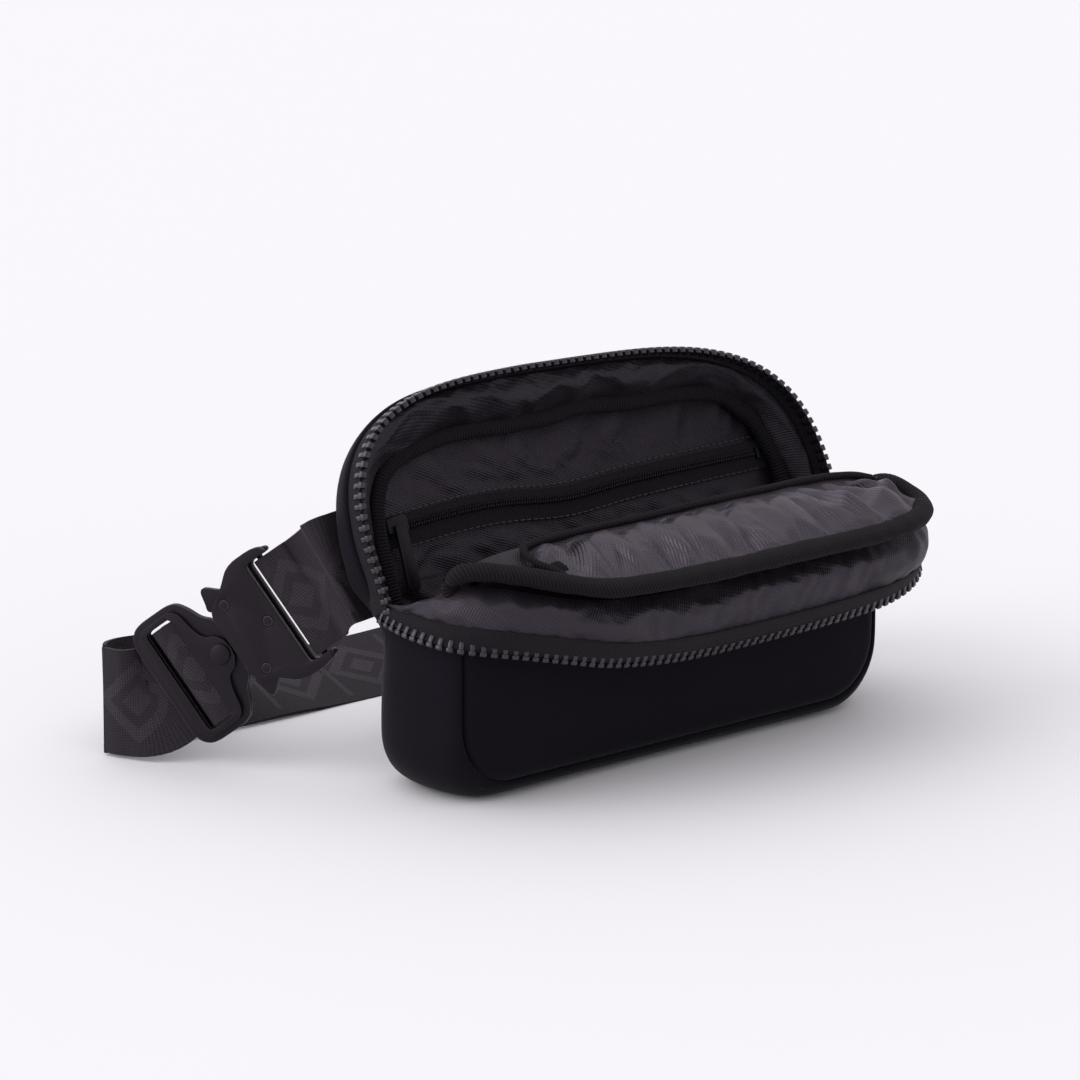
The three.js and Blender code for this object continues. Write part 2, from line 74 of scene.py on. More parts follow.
def makeStage():
    data = bpy.data.cameras.new("camera")
    data.lens = cameraSet["lens"]
    data.sensor_width = cameraSet["sensor"]
    data.clip_start, data.clip_end = cameraSet["clip"]
    camera = bpy.data.objects.new("camera", data)
    scene.collection.objects.link(camera)
    place, aim = Vector(cameraSet["place"]) * metre, Vector(cameraSet["aim"]) * metre
    camera.location = place
    camera.rotation_mode = "QUATERNION"
    camera.rotation_quaternion = (aim - place).to_track_quat("-Z", "Y")
    scene.camera = camera

    bpy.ops.mesh.primitive_plane_add(size=lightSet["floorSize"], location=(0, 0, 0))
    floor = bpy.context.object
    floor.name = "floor"
    paint = bpy.data.materials.new("paleFloor")
    paint.use_nodes = True
    skin = paint.node_tree.nodes["Principled BSDF"]
    skin.inputs["Base Color"].default_value = (*lightSet["floorColour"], 1)
    skin.inputs["Roughness"].default_value = 0.95
    skin.inputs["Specular IOR Level"].default_value = 0.1
    floor.data.materials.append(paint)

    sun = bpy.data.objects.new("key", bpy.data.lights.new("key", "SUN"))
    sun.data.energy = lightSet["keyStrength"]
    sun.data.angle = math.radians(lightSet["keyAngle"])
    sun.data.color = lightSet["keyColour"]
    sun.rotation_mode = "QUATERNION"
    sun.rotation_quaternion = Vector(lightSet["keyTowards"]).to_track_quat("-Z", "Y")
    scene.collection.objects.link(sun)

    world = bpy.data.worlds.new("studio")
    world.use_nodes = True
    tree = world.node_tree
    sky = tree.nodes["Background"]
    where = tree.nodes.new("ShaderNodeTexCoord")
    facing = tree.nodes.new("ShaderNodeVectorMath")
    facing.operation = "DOT_PRODUCT"
    facing.inputs[1].default_value = lightSet["worldFacing"]
    ramp = tree.nodes.new("ShaderNodeValToRGB")
    ramp.color_ramp.elements.new(0.5)
    for element, (position, colour) in zip(ramp.color_ramp.elements, lightSet["worldSteps"]):
        element.position, element.color = position, (*colour, 1)
    tree.links.new(where.outputs["Generated"], facing.inputs[0])
    tree.links.new(facing.outputs["Value"], ramp.inputs[0])
    tree.links.new(ramp.outputs[0], sky.inputs["Color"])
    scene.world = world
    scene.view_settings.view_transform = "Standard"


makeStage()
print("stage ready")

# ---- materials: shader sums are written as plain expressions on wires


class Wire:
    def __init__(self, graph, socket):
        self.graph, self.socket = graph, socket

    def join(self, operation, *others, **settings):
        return self.graph.add(
            "ShaderNodeMath", {"operation": operation, **settings}, dict(enumerate((self, *others)))
        )

    def __add__(self, other):
        return self.join("ADD", other)

    def __mul__(self, other):
        return self.join("MULTIPLY", other)

    def __sub__(self, other):
        return self.join("SUBTRACT", other)

    def __rsub__(self, other):
        return self.graph.add("ShaderNodeMath", {"operation": "SUBTRACT"}, {0: other, 1: self})

    __radd__ = __add__
    __rmul__ = __mul__


glossTint = (0.93, 0.79, 1.0)  # the cool cast of every highlight


class Graph:
    def __init__(self, name):
        self.material = bpy.data.materials.new(name)
        self.material.use_nodes = True
        self.tree = self.material.node_tree
        self.shader = self.tree.nodes["Principled BSDF"]

    def add(self, kind, settings=None, sockets=None, output=0):
        node = self.tree.nodes.new(kind)
        for key, value in (settings or {}).items():
            if key == "stops":
                ramp = node.color_ramp
                while len(ramp.elements) < len(value):
                    ramp.elements.new(0.5)
                for element, (place, shade) in zip(ramp.elements, value):
                    element.position, element.color = place, (shade, shade, shade, 1)
            else:
                setattr(node, key, value)
        for key, value in (sockets or {}).items():
            self.feed(node.inputs[key], value)
        return Wire(self, node.outputs[output])

    def feed(self, socket, value):
        if isinstance(value, Wire):
            self.tree.links.new(value.socket, socket)
        elif socket.type == "RGBA":
            socket.default_value = (*value[:3], 1)
        else:
            socket.default_value = value

    def cloth(self):  # the piece's own map, in metres: along and across
        spot = self.add("ShaderNodeUVMap", {"uv_map": "cloth"})
        split = self.tree.nodes.new("ShaderNodeSeparateXYZ")
        self.tree.links.new(spot.socket, split.inputs[0])
        return Wire(self, split.outputs[0]), Wire(self, split.outputs[1]), spot

    def noise(self, scale, detail=2.0, where=None):
        if where is None:
            where = self.add("ShaderNodeTexCoord", output="Object")
        return self.add("ShaderNodeTexNoise", {}, {"Vector": where, "Scale": scale, "Detail": detail}, "Fac")

    def shades(self, share, dark, light):
        return self.add("ShaderNodeMix", {"data_type": "RGBA"}, {0: share, 6: dark, 7: light}, 2)

    def bump(self, height, distance, strength=1.0):
        sockets = {"Height": height, "Distance": distance, "Strength": strength}
        return self.add("ShaderNodeBump", {}, sockets, "Normal")

    def finish(self, **values):
        self.feed(self.shader.inputs["Specular Tint"], glossTint)
        for key, value in values.items():
            self.feed(self.shader.inputs[key.replace("_", " ")], value)
        return self.material


def wave(along, pitch):  # 0 to 1 and back, once in each pitch
    return (along * (2 * math.pi / pitch)).join("SINE") * 0.5 + 0.5


def stripes(along, pitch):  # a triangle wave, 0 to 1
    return (along * (1 / pitch)).join("PINGPONG", 0.5) * 2


def makeNeoprene():
    g = Graph("neoprene")
    fine = g.noise(1500, 2)
    broad = g.noise(30, 3)
    share = fine * 0.7 + broad * 0.5 - 0.25
    return g.finish(
        Base_Color=g.shades(share, (0.0032, 0.0029, 0.0046), (0.0080, 0.0070, 0.0106)),
        Roughness=0.72 + fine * 0.16,
        Sheen_Weight=0.045, Sheen_Roughness=0.4, Specular_IOR_Level=0.08,
        Normal=g.bump(fine + broad * 0.5, 0.00018, 0.5),
    )


def makeSatin(name, gloss, lift, shine=0.5):
    g = Graph(name)
    along, across, spot = g.cloth()
    threads = wave(along * 0.94 + across * 0.5, 0.00095)
    weft = wave(across * 0.94 - along * 0.34, 0.0014)
    slub = g.noise(420, 2, spot)
    twill = threads * (0.55 + slub * 0.9)
    share = twill * 0.75 + weft * 0.25
    # lift scales both colours; the darker copies made with it below paint shade
    dark, light = np.array([[0.0055, 0.0046, 0.0062], [0.052, 0.043, 0.058]]) * lift
    return g.finish(
        Base_Color=g.shades(share, dark, light),
        Roughness=gloss + threads * 0.16,
        Sheen_Weight=0.03, Sheen_Roughness=0.35, Specular_IOR_Level=shine,
        Normal=g.bump(twill * 0.7 + weft * 0.3, 0.0002, 0.8),
    )


def makeRibbed(name, pitch, slant):
    g = Graph(name)
    along, across, spot = g.cloth()
    ribs = wave(along + across * slant, pitch)
    fluff = g.noise(900, 2, spot)
    return g.finish(
        Base_Color=g.shades(
            ribs * 0.75 + fluff * 0.35, (0.0018, 0.0015, 0.0018), (0.0115, 0.0098, 0.0113)
        ),
        Roughness=0.72 + fluff * 0.1,
        Sheen_Weight=0.02, Specular_IOR_Level=0.12,
        Normal=g.bump(ribs * 0.9 + fluff * 0.3, 0.0004, 0.9),
    )


def makeTape():
    g = Graph("zipTape")
    along, across, spot = g.cloth()
    zigzag = stripes(across, 0.0052) * 0.0026
    ribs = wave(along + zigzag, 0.0011)
    fluff = g.noise(1100, 2, spot)
    return g.finish(
        Base_Color=g.shades(
            ribs * 0.6 + fluff * 0.4, (0.0045, 0.004, 0.0048), (0.0165, 0.0146, 0.0172)
        ),
        Roughness=0.82,
        Sheen_Weight=0.03, Specular_IOR_Level=0.12,
        Normal=g.bump(ribs + fluff * 0.4, 0.0002, 0.6),
    )


def makeHard(name, grain, tint, dark, light, rough, bump=None, **fixed):
    # hard finishes and thread: grain and tint are (scale, detail) of a noise, rough is (least, spread)
    g = Graph(name)
    speck = g.noise(*grain)
    shade = g.noise(*tint) if tint else speck
    if bump:
        fixed["Normal"] = g.bump(speck, *bump)
    roughness = rough[0] + speck * rough[1] if rough[1] else rough[0]
    return g.finish(Base_Color=g.shades(shade, dark, light), Roughness=roughness, **fixed)


def makePowderCoat(name, lift):
    # lift scales both colours; the much higher and lower lifts below make lighter and darker copies that
    # paint highlight and shade
    dark, light = np.array([[0.0060, 0.0051, 0.0058], [0.0092, 0.0079, 0.009]]) * lift
    return makeHard(name, (2400, 3), (90, 2), dark, light, (0.40, 0.14), (0.00005, 0.55),
                    Metallic=0.1, Specular_IOR_Level=0.26)


webbingFigure = {  # metres along and across the webbing
    "repeat": 0.034, "start": 0.006, "middle": 0.02, "ring": 0.0125, "ringHalf": 0.0026, "heart": 0.0055,
    "bar": 0.0165, "barHalf": 0.0006, "edge": 0.0165,
}


def makeWebbing():
    g = Graph("webbing")
    along, across, spot = g.cloth()
    warp, weft = wave(across, 0.00098), wave(along, 0.00086)
    fine = wave(along - across * 0.8, 0.00085)
    grain = g.noise(700, 2, spot)
    # tone-on-tone figure: nested lozenges with a bar between them
    p = webbingFigure
    lengthways = ((along + p["start"]) * (1 / p["repeat"])).join("PINGPONG", 0.5) * p["repeat"]
    sideways = (across - p["middle"]).join("ABSOLUTE")
    lozenge = lengthways * 0.95 + sideways
    ring = (lozenge - p["ring"]).join("ABSOLUTE").join("LESS_THAN", p["ringHalf"])
    heart = lozenge.join("LESS_THAN", p["heart"])
    bar = (lengthways - p["bar"]).join("ABSOLUTE").join("LESS_THAN", p["barHalf"])
    figure = (ring + heart + bar).join("MINIMUM", 1.0)
    figure = figure * sideways.join("LESS_THAN", p["edge"])
    plain = warp * 0.35 + weft * 0.35
    knots = warp * weft * 1.3
    share = plain * (1 - figure) * 0.8 + figure * (0.35 + knots * 0.75) + grain * 0.25
    height = plain * (1 - figure) + figure * (knots + 0.35) + fine * 0.15
    return g.finish(
        Base_Color=g.shades(share, (0.0058, 0.0047, 0.0058), (0.039, 0.032, 0.040)),
        Roughness=0.72 - figure * 0.18,
        Sheen_Weight=0.03, Specular_IOR_Level=0.18,
        Normal=g.bump(height, 0.0003, 0.8),
    )


neoprene = makeNeoprene()
satin = makeSatin("satin", 0.31, 0.58, 0.72)
# the same satin, darker, for the flap's lining and the strip under the thick binding: painted shade
shadedStripSatin = makeSatin("satinStripShaded", 0.38, 0.34, 0.45)
# the same satin, far darker, for the lining inside the bag: painted shade
shadedLiningSatin = makeSatin("satinInsideShaded", 0.4, 0.30, 0.36)
ribbed = makeRibbed("ribbedBinding", 0.0013, 0.35)
ribbedInside = makeRibbed("ribbedInside", 0.0012, 0.0)
zipTape = makeTape()
mouldedTeeth = makeHard("mouldedTeeth", (2600, 2), (260, 1), (0.0042, 0.0037, 0.0042),
                        (0.0095, 0.0084, 0.0095), (0.22, 0.2), (0.00004, 0.5), Specular_IOR_Level=0.65)
coilTeeth = makeHard("coilTeeth", (1800, 2), None, (0.0055, 0.005, 0.0055), (0.013, 0.0118, 0.013),
                     (0.34, 0.2), (0.00004, 0.4), Specular_IOR_Level=0.3)
webbing = makeWebbing()
powderCoat = makePowderCoat("powderCoat", 0.7)
# a far lighter copy of the coat for the bevel faces: a painted highlight along the plates' edges
edgeHighlightCoat = makePowderCoat("edgeHighlightCoat", 9.0)
# a darker copy of the coat for the pocket's slider, pull and stop inside the bag: painted shade
shadedCoat = makePowderCoat("shadedCoat", 0.45)
springSteel = makeHard("springSteel", (1600, 2), None, (0.30, 0.30, 0.31), (0.45, 0.45, 0.46), (0.28, 0.15),
                       Metallic=1.0)
thread = makeHard("thread", (2200, 2), None, (0.012, 0.011, 0.012), (0.05, 0.046, 0.05),
                  (0.6, 0), (0.0001, 0.5))
print("materials ready")

# ---- makers


def runLength(points):  # how far along a path each of its points lies
    return np.concatenate([[0], np.cumsum(np.linalg.norm(np.diff(points, axis=0), axis=1))])


def resample(points, count):
    far = runLength(points)
    at = np.linspace(0, far[-1], count)
    return np.stack([np.interp(at, far, column) for column in points.T], axis=1)


def smoothCurve(points, steps, closed=False):
    # a curve through all the points, with this many steps in each span
    pts = np.array(points, float)
    if closed:
        pts = np.vstack([pts[-1], pts, pts[0], pts[1]])
    else:
        pts = np.vstack([2 * pts[0] - pts[1], pts, 2 * pts[-1] - pts[-2]])
    spans = []
    for i in range(len(pts) - 3):
        p0, p1, p2, p3 = pts[i:i + 4]
        gaps = [max(np.linalg.norm(b - a), 1e-6) ** 0.5 for a, b in ((p0, p1), (p1, p2), (p2, p3))]
        k0, k1, k2, k3 = np.cumsum([0.0] + gaps)
        t = np.linspace(k1, k2, steps, endpoint=False)[:, None]
        a1 = ((k1 - t) * p0 + (t - k0) * p1) / (k1 - k0)
        a2 = ((k2 - t) * p1 + (t - k1) * p2) / (k2 - k1)
        a3 = ((k3 - t) * p2 + (t - k2) * p3) / (k3 - k2)
        b1 = ((k2 - t) * a1 + (t - k0) * a2) / (k2 - k0)
        b2 = ((k3 - t) * a2 + (t - k1) * a3) / (k3 - k1)
        spans.append(((k2 - t) * b1 + (t - k1) * b2) / (k2 - k1))
    return np.vstack(spans + [pts[-2][None]])


def curveThrough(points, count, closed=False):
    # the same curve, cut into evenly spaced points
    fine = smoothCurve(points, 20, closed)
    return resample(fine, count + 1)[:-1] if closed else resample(fine, count)


def between(start, end, share):
    # rows of points from one path to another, at these shares of the way
    share = share[None, :, None]
    return start[:, None, :] * (1 - share) + end[:, None, :] * share


def eased(value):
    value = np.clip(value, 0, 1)
    return value * value * (3 - 2 * value)


def unit(vectors):
    vectors = np.array(vectors, float)
    return vectors / np.maximum(np.linalg.norm(vectors, axis=-1, keepdims=True), 1e-9)


def tangents(points, closed=False):
    if closed:
        return unit(np.roll(points, -1, axis=0) - np.roll(points, 1, axis=0))
    return unit(np.gradient(points, axis=0))


def ripple(seed, length, count=7):
    # a smooth uneven height field, about -1 to 1, with waves about this long
    rng = np.random.default_rng(seed)
    angles = rng.uniform(0, math.pi, count)
    pitch = length * rng.uniform(0.6, 1.7, count)
    phase = rng.uniform(0, 2 * math.pi, count)

    def height(u, v):
        total = 0
        for angle, span, start in zip(angles, pitch, phase):
            total = total + np.sin(2 * math.pi * (u * math.cos(angle) + v * math.sin(angle)) / span + start)
        return total / math.sqrt(count) * 0.7
    return height


def makeActive(piece):
    bpy.ops.object.select_all(action="DESELECT")
    piece.select_set(True)
    bpy.context.view_layer.objects.active = piece


def openEdit(piece, picked=None, kind="VERT"):
    # edit mode, with the whole piece selected or only the elements with these numbers
    makeActive(piece)
    bpy.ops.object.mode_set(mode="EDIT")
    bpy.ops.mesh.select_mode(type=kind)
    bpy.ops.mesh.select_all(action="SELECT" if picked is None else "DESELECT")
    if picked:
        bpy.ops.object.mode_set(mode="OBJECT")
        elements = piece.data.vertices if kind == "VERT" else piece.data.polygons
        for number in picked:
            elements[number].select = True
        bpy.ops.object.mode_set(mode="EDIT")


def closeEdit():
    bpy.ops.object.mode_set(mode="OBJECT")


def joinPieces(first, second):
    makeActive(first)
    second.select_set(True)
    bpy.ops.object.join()
    return first


def smoothFaces(piece, degrees):
    makeActive(piece)
    bpy.ops.object.shade_smooth_by_angle(angle=math.radians(degrees))


def pointsOf(mesh):
    flat = np.zeros(len(mesh.vertices) * 3)
    mesh.vertices.foreach_get("co", flat)
    return flat.reshape(-1, 3)


def modify(piece, kind, **settings):
    makeActive(piece)
    modifier = piece.modifiers.new(kind.title(), kind)
    for key, value in settings.items():
        setattr(modifier, key, value)
    bpy.ops.object.modifier_apply(modifier=modifier.name)


def newPiece(name, vertices, faces, material, loopUv=None):
    mesh = bpy.data.meshes.new(name)
    mesh.from_pydata([tuple(p) for p in vertices], [], faces)
    if loopUv is not None:
        layer = mesh.uv_layers.new(name="cloth")
        layer.data.foreach_set("uv", np.array(loopUv, float).ravel())
    mesh.materials.append(material)
    mesh.polygons.foreach_set("use_smooth", [True] * len(mesh.polygons))
    mesh.update()
    piece = bpy.data.objects.new(name, mesh)
    scene.collection.objects.link(piece)
    return piece


def turnOut(piece, towards=None, awayFrom=None):
    # flips the faces of a piece that looks the wrong way on the whole
    total = 0.0
    for face in piece.data.polygons:
        if towards is not None:
            total += face.area * face.normal.dot(Vector(towards))
        else:
            total += face.area * face.normal.dot(face.center - Vector(awayFrom) * metre)
    if total < 0:
        piece.data.flip_normals()


def sheetMesh(name, rows, material, closedAlong=False, closedAcross=False, towards=None, awayFrom=None,
              shift=(0.0, 0.0)):
    rows = np.array(rows, float)
    n, m = rows.shape[:2]
    alongStep = np.linalg.norm(np.diff(rows, axis=0), axis=2).mean(axis=1)
    acrossStep = np.linalg.norm(np.diff(rows, axis=1), axis=2).mean(axis=0)
    u = np.concatenate([[0], np.cumsum(alongStep)])
    v = np.concatenate([[0], np.cumsum(acrossStep)])
    u = np.append(u, u[-1] + np.linalg.norm(rows[0] - rows[-1], axis=1).mean()) + shift[0]
    v = np.append(v, v[-1] + np.linalg.norm(rows[:, 0] - rows[:, -1], axis=1).mean()) + shift[1]
    faces, loops = [], []
    for i in range(n if closedAlong else n - 1):
        for j in range(m if closedAcross else m - 1):
            a, b = (i + 1) % n, (j + 1) % m
            faces.append((i * m + j, a * m + j, a * m + b, i * m + b))
            loops += [(u[i], v[j]), (u[i + 1], v[j]), (u[i + 1], v[j + 1]), (u[i], v[j + 1])]
    piece = newPiece(name, rows.reshape(-1, 3) * metre, faces, material, np.array(loops) * metre)
    if towards is not None or awayFrom is not None:
        turnOut(piece, towards, awayFrom)
    return piece


def thicken(piece, thickness, offset=-1.0, smooth=0):
    modify(piece, "SOLIDIFY", thickness=thickness * metre, offset=offset, use_even_offset=False)
    if smooth:
        modify(piece, "SUBSURF", levels=smooth, render_levels=smooth)
    smoothFaces(piece, 60)
    return piece


def rollMesh(name, path, facing, wide, tall, material, sides=16, wobble=None, closeEnds=True):
    # a soft round of tape: path points, the way its broad side faces, and its two sizes
    path = np.array(path, float)
    t = tangents(path)
    facing = np.broadcast_to(np.array(facing, float), path.shape)
    out = unit(facing - (facing * t).sum(1)[:, None] * t)
    side = np.cross(t, out)
    turn = np.linspace(0, 2 * math.pi, sides, endpoint=False)
    squared = [[math.copysign(abs(v) ** 0.85, v) for v in (math.sin(a), math.cos(a))] for a in turn]
    rings = []
    last = len(path) - 1
    for i, p in enumerate(path):
        grow = 1 + (wobble(i) if wobble else 0)
        if closeEnds:  # the roll tapers over its last two steps
            grow *= min(1.0, 0.35 + 0.65 * min(i, last - i) / 2.0)
        rings.append([
            p + out[i] * up * tall / 2 * grow + side[i] * over * wide / 2 * grow for up, over in squared
        ])
    piece = sheetMesh(name, rings, material, closedAcross=True)
    if closeEnds:
        openEdit(piece, [])
        bpy.ops.mesh.select_non_manifold()
        bpy.ops.mesh.edge_face_add()
        bpy.ops.mesh.select_all(action="SELECT")
        bpy.ops.mesh.normals_make_consistent(inside=False)
        closeEdit()
    return piece


def gather(piece, pinned, slack, frames=22, puff=0.0, bend=0.05, limit=5.0):
    # cloth that is longer than its seams: held at the pinned points, it settles into folds
    scale = 12.0  # the cloth settles better on a larger copy
    mesh = piece.data
    start = pointsOf(mesh)
    mesh.vertices.foreach_set("co", (start * scale).ravel())
    group = piece.vertex_groups.new(name="pinned")
    group.add([int(i) for i in pinned], 1.0, "ADD")
    modifier = piece.modifiers.new("Cloth", "CLOTH")
    cloth = modifier.settings
    cloth.quality = 6
    cloth.mass = 0.15
    cloth.tension_stiffness = cloth.compression_stiffness = 18
    cloth.shear_stiffness = 6
    cloth.bending_stiffness = bend
    cloth.tension_damping = cloth.compression_damping = 8
    cloth.air_damping = 2
    cloth.vertex_group_mass = "pinned"
    cloth.shrink_min = -slack
    cloth.effector_weights.gravity = 0
    if puff:
        cloth.use_pressure = True
        cloth.uniform_pressure_force = puff
    modifier.collision_settings.use_collision = False
    modifier.collision_settings.use_self_collision = False
    modifier.point_cache.frame_start, modifier.point_cache.frame_end = 1, frames
    for number in range(1, frames + 1):
        scene.frame_set(number)
    makeActive(piece)
    bpy.ops.object.modifier_apply(modifier=modifier.name)
    scene.frame_set(1)
    move = pointsOf(mesh) / scale - start
    far = np.linalg.norm(move, axis=1, keepdims=True)
    move *= np.minimum(1.0, limit * metre / np.maximum(far, 1e-9))
    mesh.vertices.foreach_set("co", (start + move).ravel())
    piece.vertex_groups.clear()
    mesh.update()


def gridEdges(n, m):  # numbers of a grid's border points
    return [i * m + j for i in range(n) for j in range(m) if i in (0, n - 1) or j in (0, m - 1)]


def dress(piece, slot, *standsFor):
    if standsFor:
        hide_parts(*standsFor)


# ---- shapes that several pieces share

bag = {
    "halfWidth": 106.0, "halfFront": 99.5, "frontShift": -3.0, "halfBack": 94.0,
    "zipHeight": 65.0, "sideTop": 57.0, "corner": 19.0,
    "archWidth": 212.0, "archHeight": 74.5, "backWidth": 208.0, "backHeight": 67.0,
    "lean": math.radians(21), "slumpSide": 2.6, "slumpTop": 0.026,
    "rimSwell": 4.8, "backSwell": 2.2, "leftPower": 2 / 4.6, "rightPower": 2 / 3.2,
}
leanSin, leanCos = math.sin(bag["lean"]), math.cos(bag["lean"])


def onShell(x, depth, height):
    # a point of the leaning rear shell: sideways, back from the zip plane, and up its own slope
    x, depth, height = np.broadcast_arrays(*(np.array(value, float) for value in (x, depth, height)))
    return np.stack([
        x, depth * leanCos + height * leanSin, bag["zipHeight"] - depth * leanSin + height * leanCos,
    ], axis=-1)


def placed(x, y, z):
    return np.stack(np.broadcast_arrays(*(np.array(value, float) for value in (x, y, z))), axis=-1)


def archLine(width, height, start, count, inset=0.0, swell=bag["rimSwell"]):
    # up the left side, over the crowned top and down the right side: (x, height) pairs
    lowest = math.asin((start / height) ** 1.7)
    t = np.linspace(lowest, math.pi - lowest, 121)
    c, s = np.cos(t), np.sin(t)
    onLeft = c > 0
    x = -np.sign(c) * (width / 2 - inset) * np.abs(c) ** np.where(onLeft, bag["leftPower"], bag["rightPower"])
    h = (height - inset) * s ** (2 / 3.4)
    x -= np.where(onLeft, swell * np.sin(math.pi * np.clip(h / height, 0, 1)) ** 0.6, 0)
    settled = h - bag["slumpTop"] * np.maximum(x + 20, 0) * h / height
    return resample(np.stack([x - bag["slumpSide"] * h / height, settled], axis=1), count)


def lowerLine(half, top, bottom, radius, shift=0.0):
    # down the left side, round the lower corners and up the right side: (x, z) pairs
    def corner(centre, quarter):
        turns = [math.pi * (2 + quarter) / 2 + i * math.pi / 16 for i in range(9)]
        return [(centre + radius * math.cos(a), bottom + radius + radius * math.sin(a)) for a in turns]
    middle = (top + bottom + radius) / 2
    points = [(-half, top), (-half, middle)] + corner(-half + radius, 0) + [(-half * 0.3, bottom)]
    points += [(half * 0.3, bottom)] + corner(half - radius, 1) + [(half, middle), (half, top)]
    return np.array(points) + np.array([shift, 0.0])


def halfAt(y):
    # half width of the lower body and its sideways shift, at a depth
    halves = [bag["halfFront"], bag["halfWidth"], bag["halfWidth"], bag["halfBack"]]
    half = np.interp(y, [-34, -14, 0, 13.65], halves)
    shift = np.interp(y, [-34, -14], [bag["frontShift"], 0])
    return float(half), float(shift)


# ---- neoprene body

gussetSet = {
    "skin": 2.8, "rows": 300, "frontTop": 62.5, "rimDepth": 1.95, "depth": 11.7, "sag": 0.35,
    # the ring: depth in the lower body, depth in the shell, inset
    "ring": [
        (2.0, 1.8, 0.0), (4.5, 4.0, -0.8), (7.5, 7.0, -1.5), (10.0, 10.2, -1.9), (12.2, 13.0, -1.5),
        (13.7, 14.8, 0.0), (14.3, 15.6, 2.0),
    ],
    # the front part: depth, inset, height of its lower edge
    "fore": [
        (-4, 0, 0), (-10, -0.3, 0), (-16, -0.4, 0), (-22, -0.4, 0.1), (-27, -0.4, 0.6), (-30.5, -0.2, 1.8),
        (-33.2, 0.4, 3.4), (-34.8, 1.3, 4.9), (-35.4, 2.3, 6.0), (-34.9, 3.2, 6.8), (-33.0, 3.6, 7.2),
    ],
}
frontPanelSet = {"half": 96.4, "corner": 22.0, "bottom": 6.8, "depth": 4.4, "reach": 4.6, "crown": 1.6}


def makeGusset():
    # the rear part is one ring round base, sides and arch, and the front part a U that joins it
    g = gussetSet
    sag = ripple(3, 70)
    columns = []
    for low, deep, inset in g["ring"]:
        half, shift = halfAt(low)
        share = (deep - g["rimDepth"]) / g["depth"]
        pairs = (("archWidth", "backWidth"), ("archHeight", "backHeight"), ("rimSwell", "backSwell"))
        width, height, swell = (bag[rim] + (bag[back] - bag[rim]) * share for rim, back in pairs)
        arch = archLine(width, height, 10, 40, inset, swell)
        base = lowerLine(half - inset, 54, max(inset, 0.0), bag["corner"], shift)[::-1]
        outline = np.vstack([onShell(arch[:, 0], deep, arch[:, 1]), placed(base[:, 0], low, base[:, 1])])
        columns.append(curveThrough(outline, g["rows"], closed=True))
    rows = np.stack(columns, axis=1)
    away = unit((rows - [0, 0, 50.0]) * [1, 0.0, 1])
    rows += away * (g["sag"] * sag(rows[..., 0], rows[..., 2] + rows[..., 1]))[..., None]

    # one run of rows is shared by both parts; the ring starts at the arch's left foot
    inFront = np.where(rows[:, 0, 2] < g["frontTop"] + 0.5)[0]
    runs = np.split(inFront, np.where(np.diff(inFront) > 1)[0] + 1)
    if len(runs) > 1:
        inFront = np.concatenate([runs[-1], runs[0]])
    shared = rows[inFront, 0]
    share = runLength(shared[:, [0, 2]])
    share /= share[-1]
    grid = [shared]
    for y, inset, bottom in g["fore"]:
        half, shift = halfAt(y)
        radius = float(np.interp(-y, [20, 33], [bag["corner"], frontPanelSet["corner"]]))
        line = lowerLine(half - inset, g["frontTop"], bottom, radius, shift)[::-1]
        line = resample(curveThrough(line, 400), 400)
        far = runLength(line)
        x, z = (np.interp(share * far[-1], far, line[:, k]) for k in (0, 1))
        bulge = g["sag"] * sag(x, z + y) * np.interp(y, [-33, -24], [0, 1])
        grid.append(placed(x, y, z) + unit(placed(x, 0, z - 50)) * bulge[:, None])
    front = np.stack(grid, axis=1)

    ring = sheetMesh("gusset", rows, neoprene, closedAlong=True, awayFrom=(0, 5, 50))
    fore = sheetMesh("gussetFore", front, neoprene, awayFrom=(0, -15, 50))
    openEdit(joinPieces(ring, fore))
    bpy.ops.mesh.remove_doubles(threshold=0.00005)
    closeEdit()
    thicken(ring, g["skin"], smooth=1)
    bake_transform(ring)
    dress(ring, "neoprene", "gusset_lower", "rear_gusset")


def uEdgeDistance(x, z, half, bottom, radius, shift):
    # how far inside the U outline a point is
    x = np.abs(x - shift)
    cx, cz = half - radius, bottom + radius
    corner = radius - np.hypot(np.maximum(x - cx, 0), np.maximum(cz - z, 0))
    straight = np.minimum(half - x, z - bottom)
    return np.where((x > cx) & (z < cz), corner, straight)


def seamRound(distance, depth, reach):
    # how far the face drops near a seam
    t = np.clip(distance / reach, 0, 1)
    return depth * (1 - np.sqrt(np.clip(1 - (1 - t) ** 2, 0, 1)))


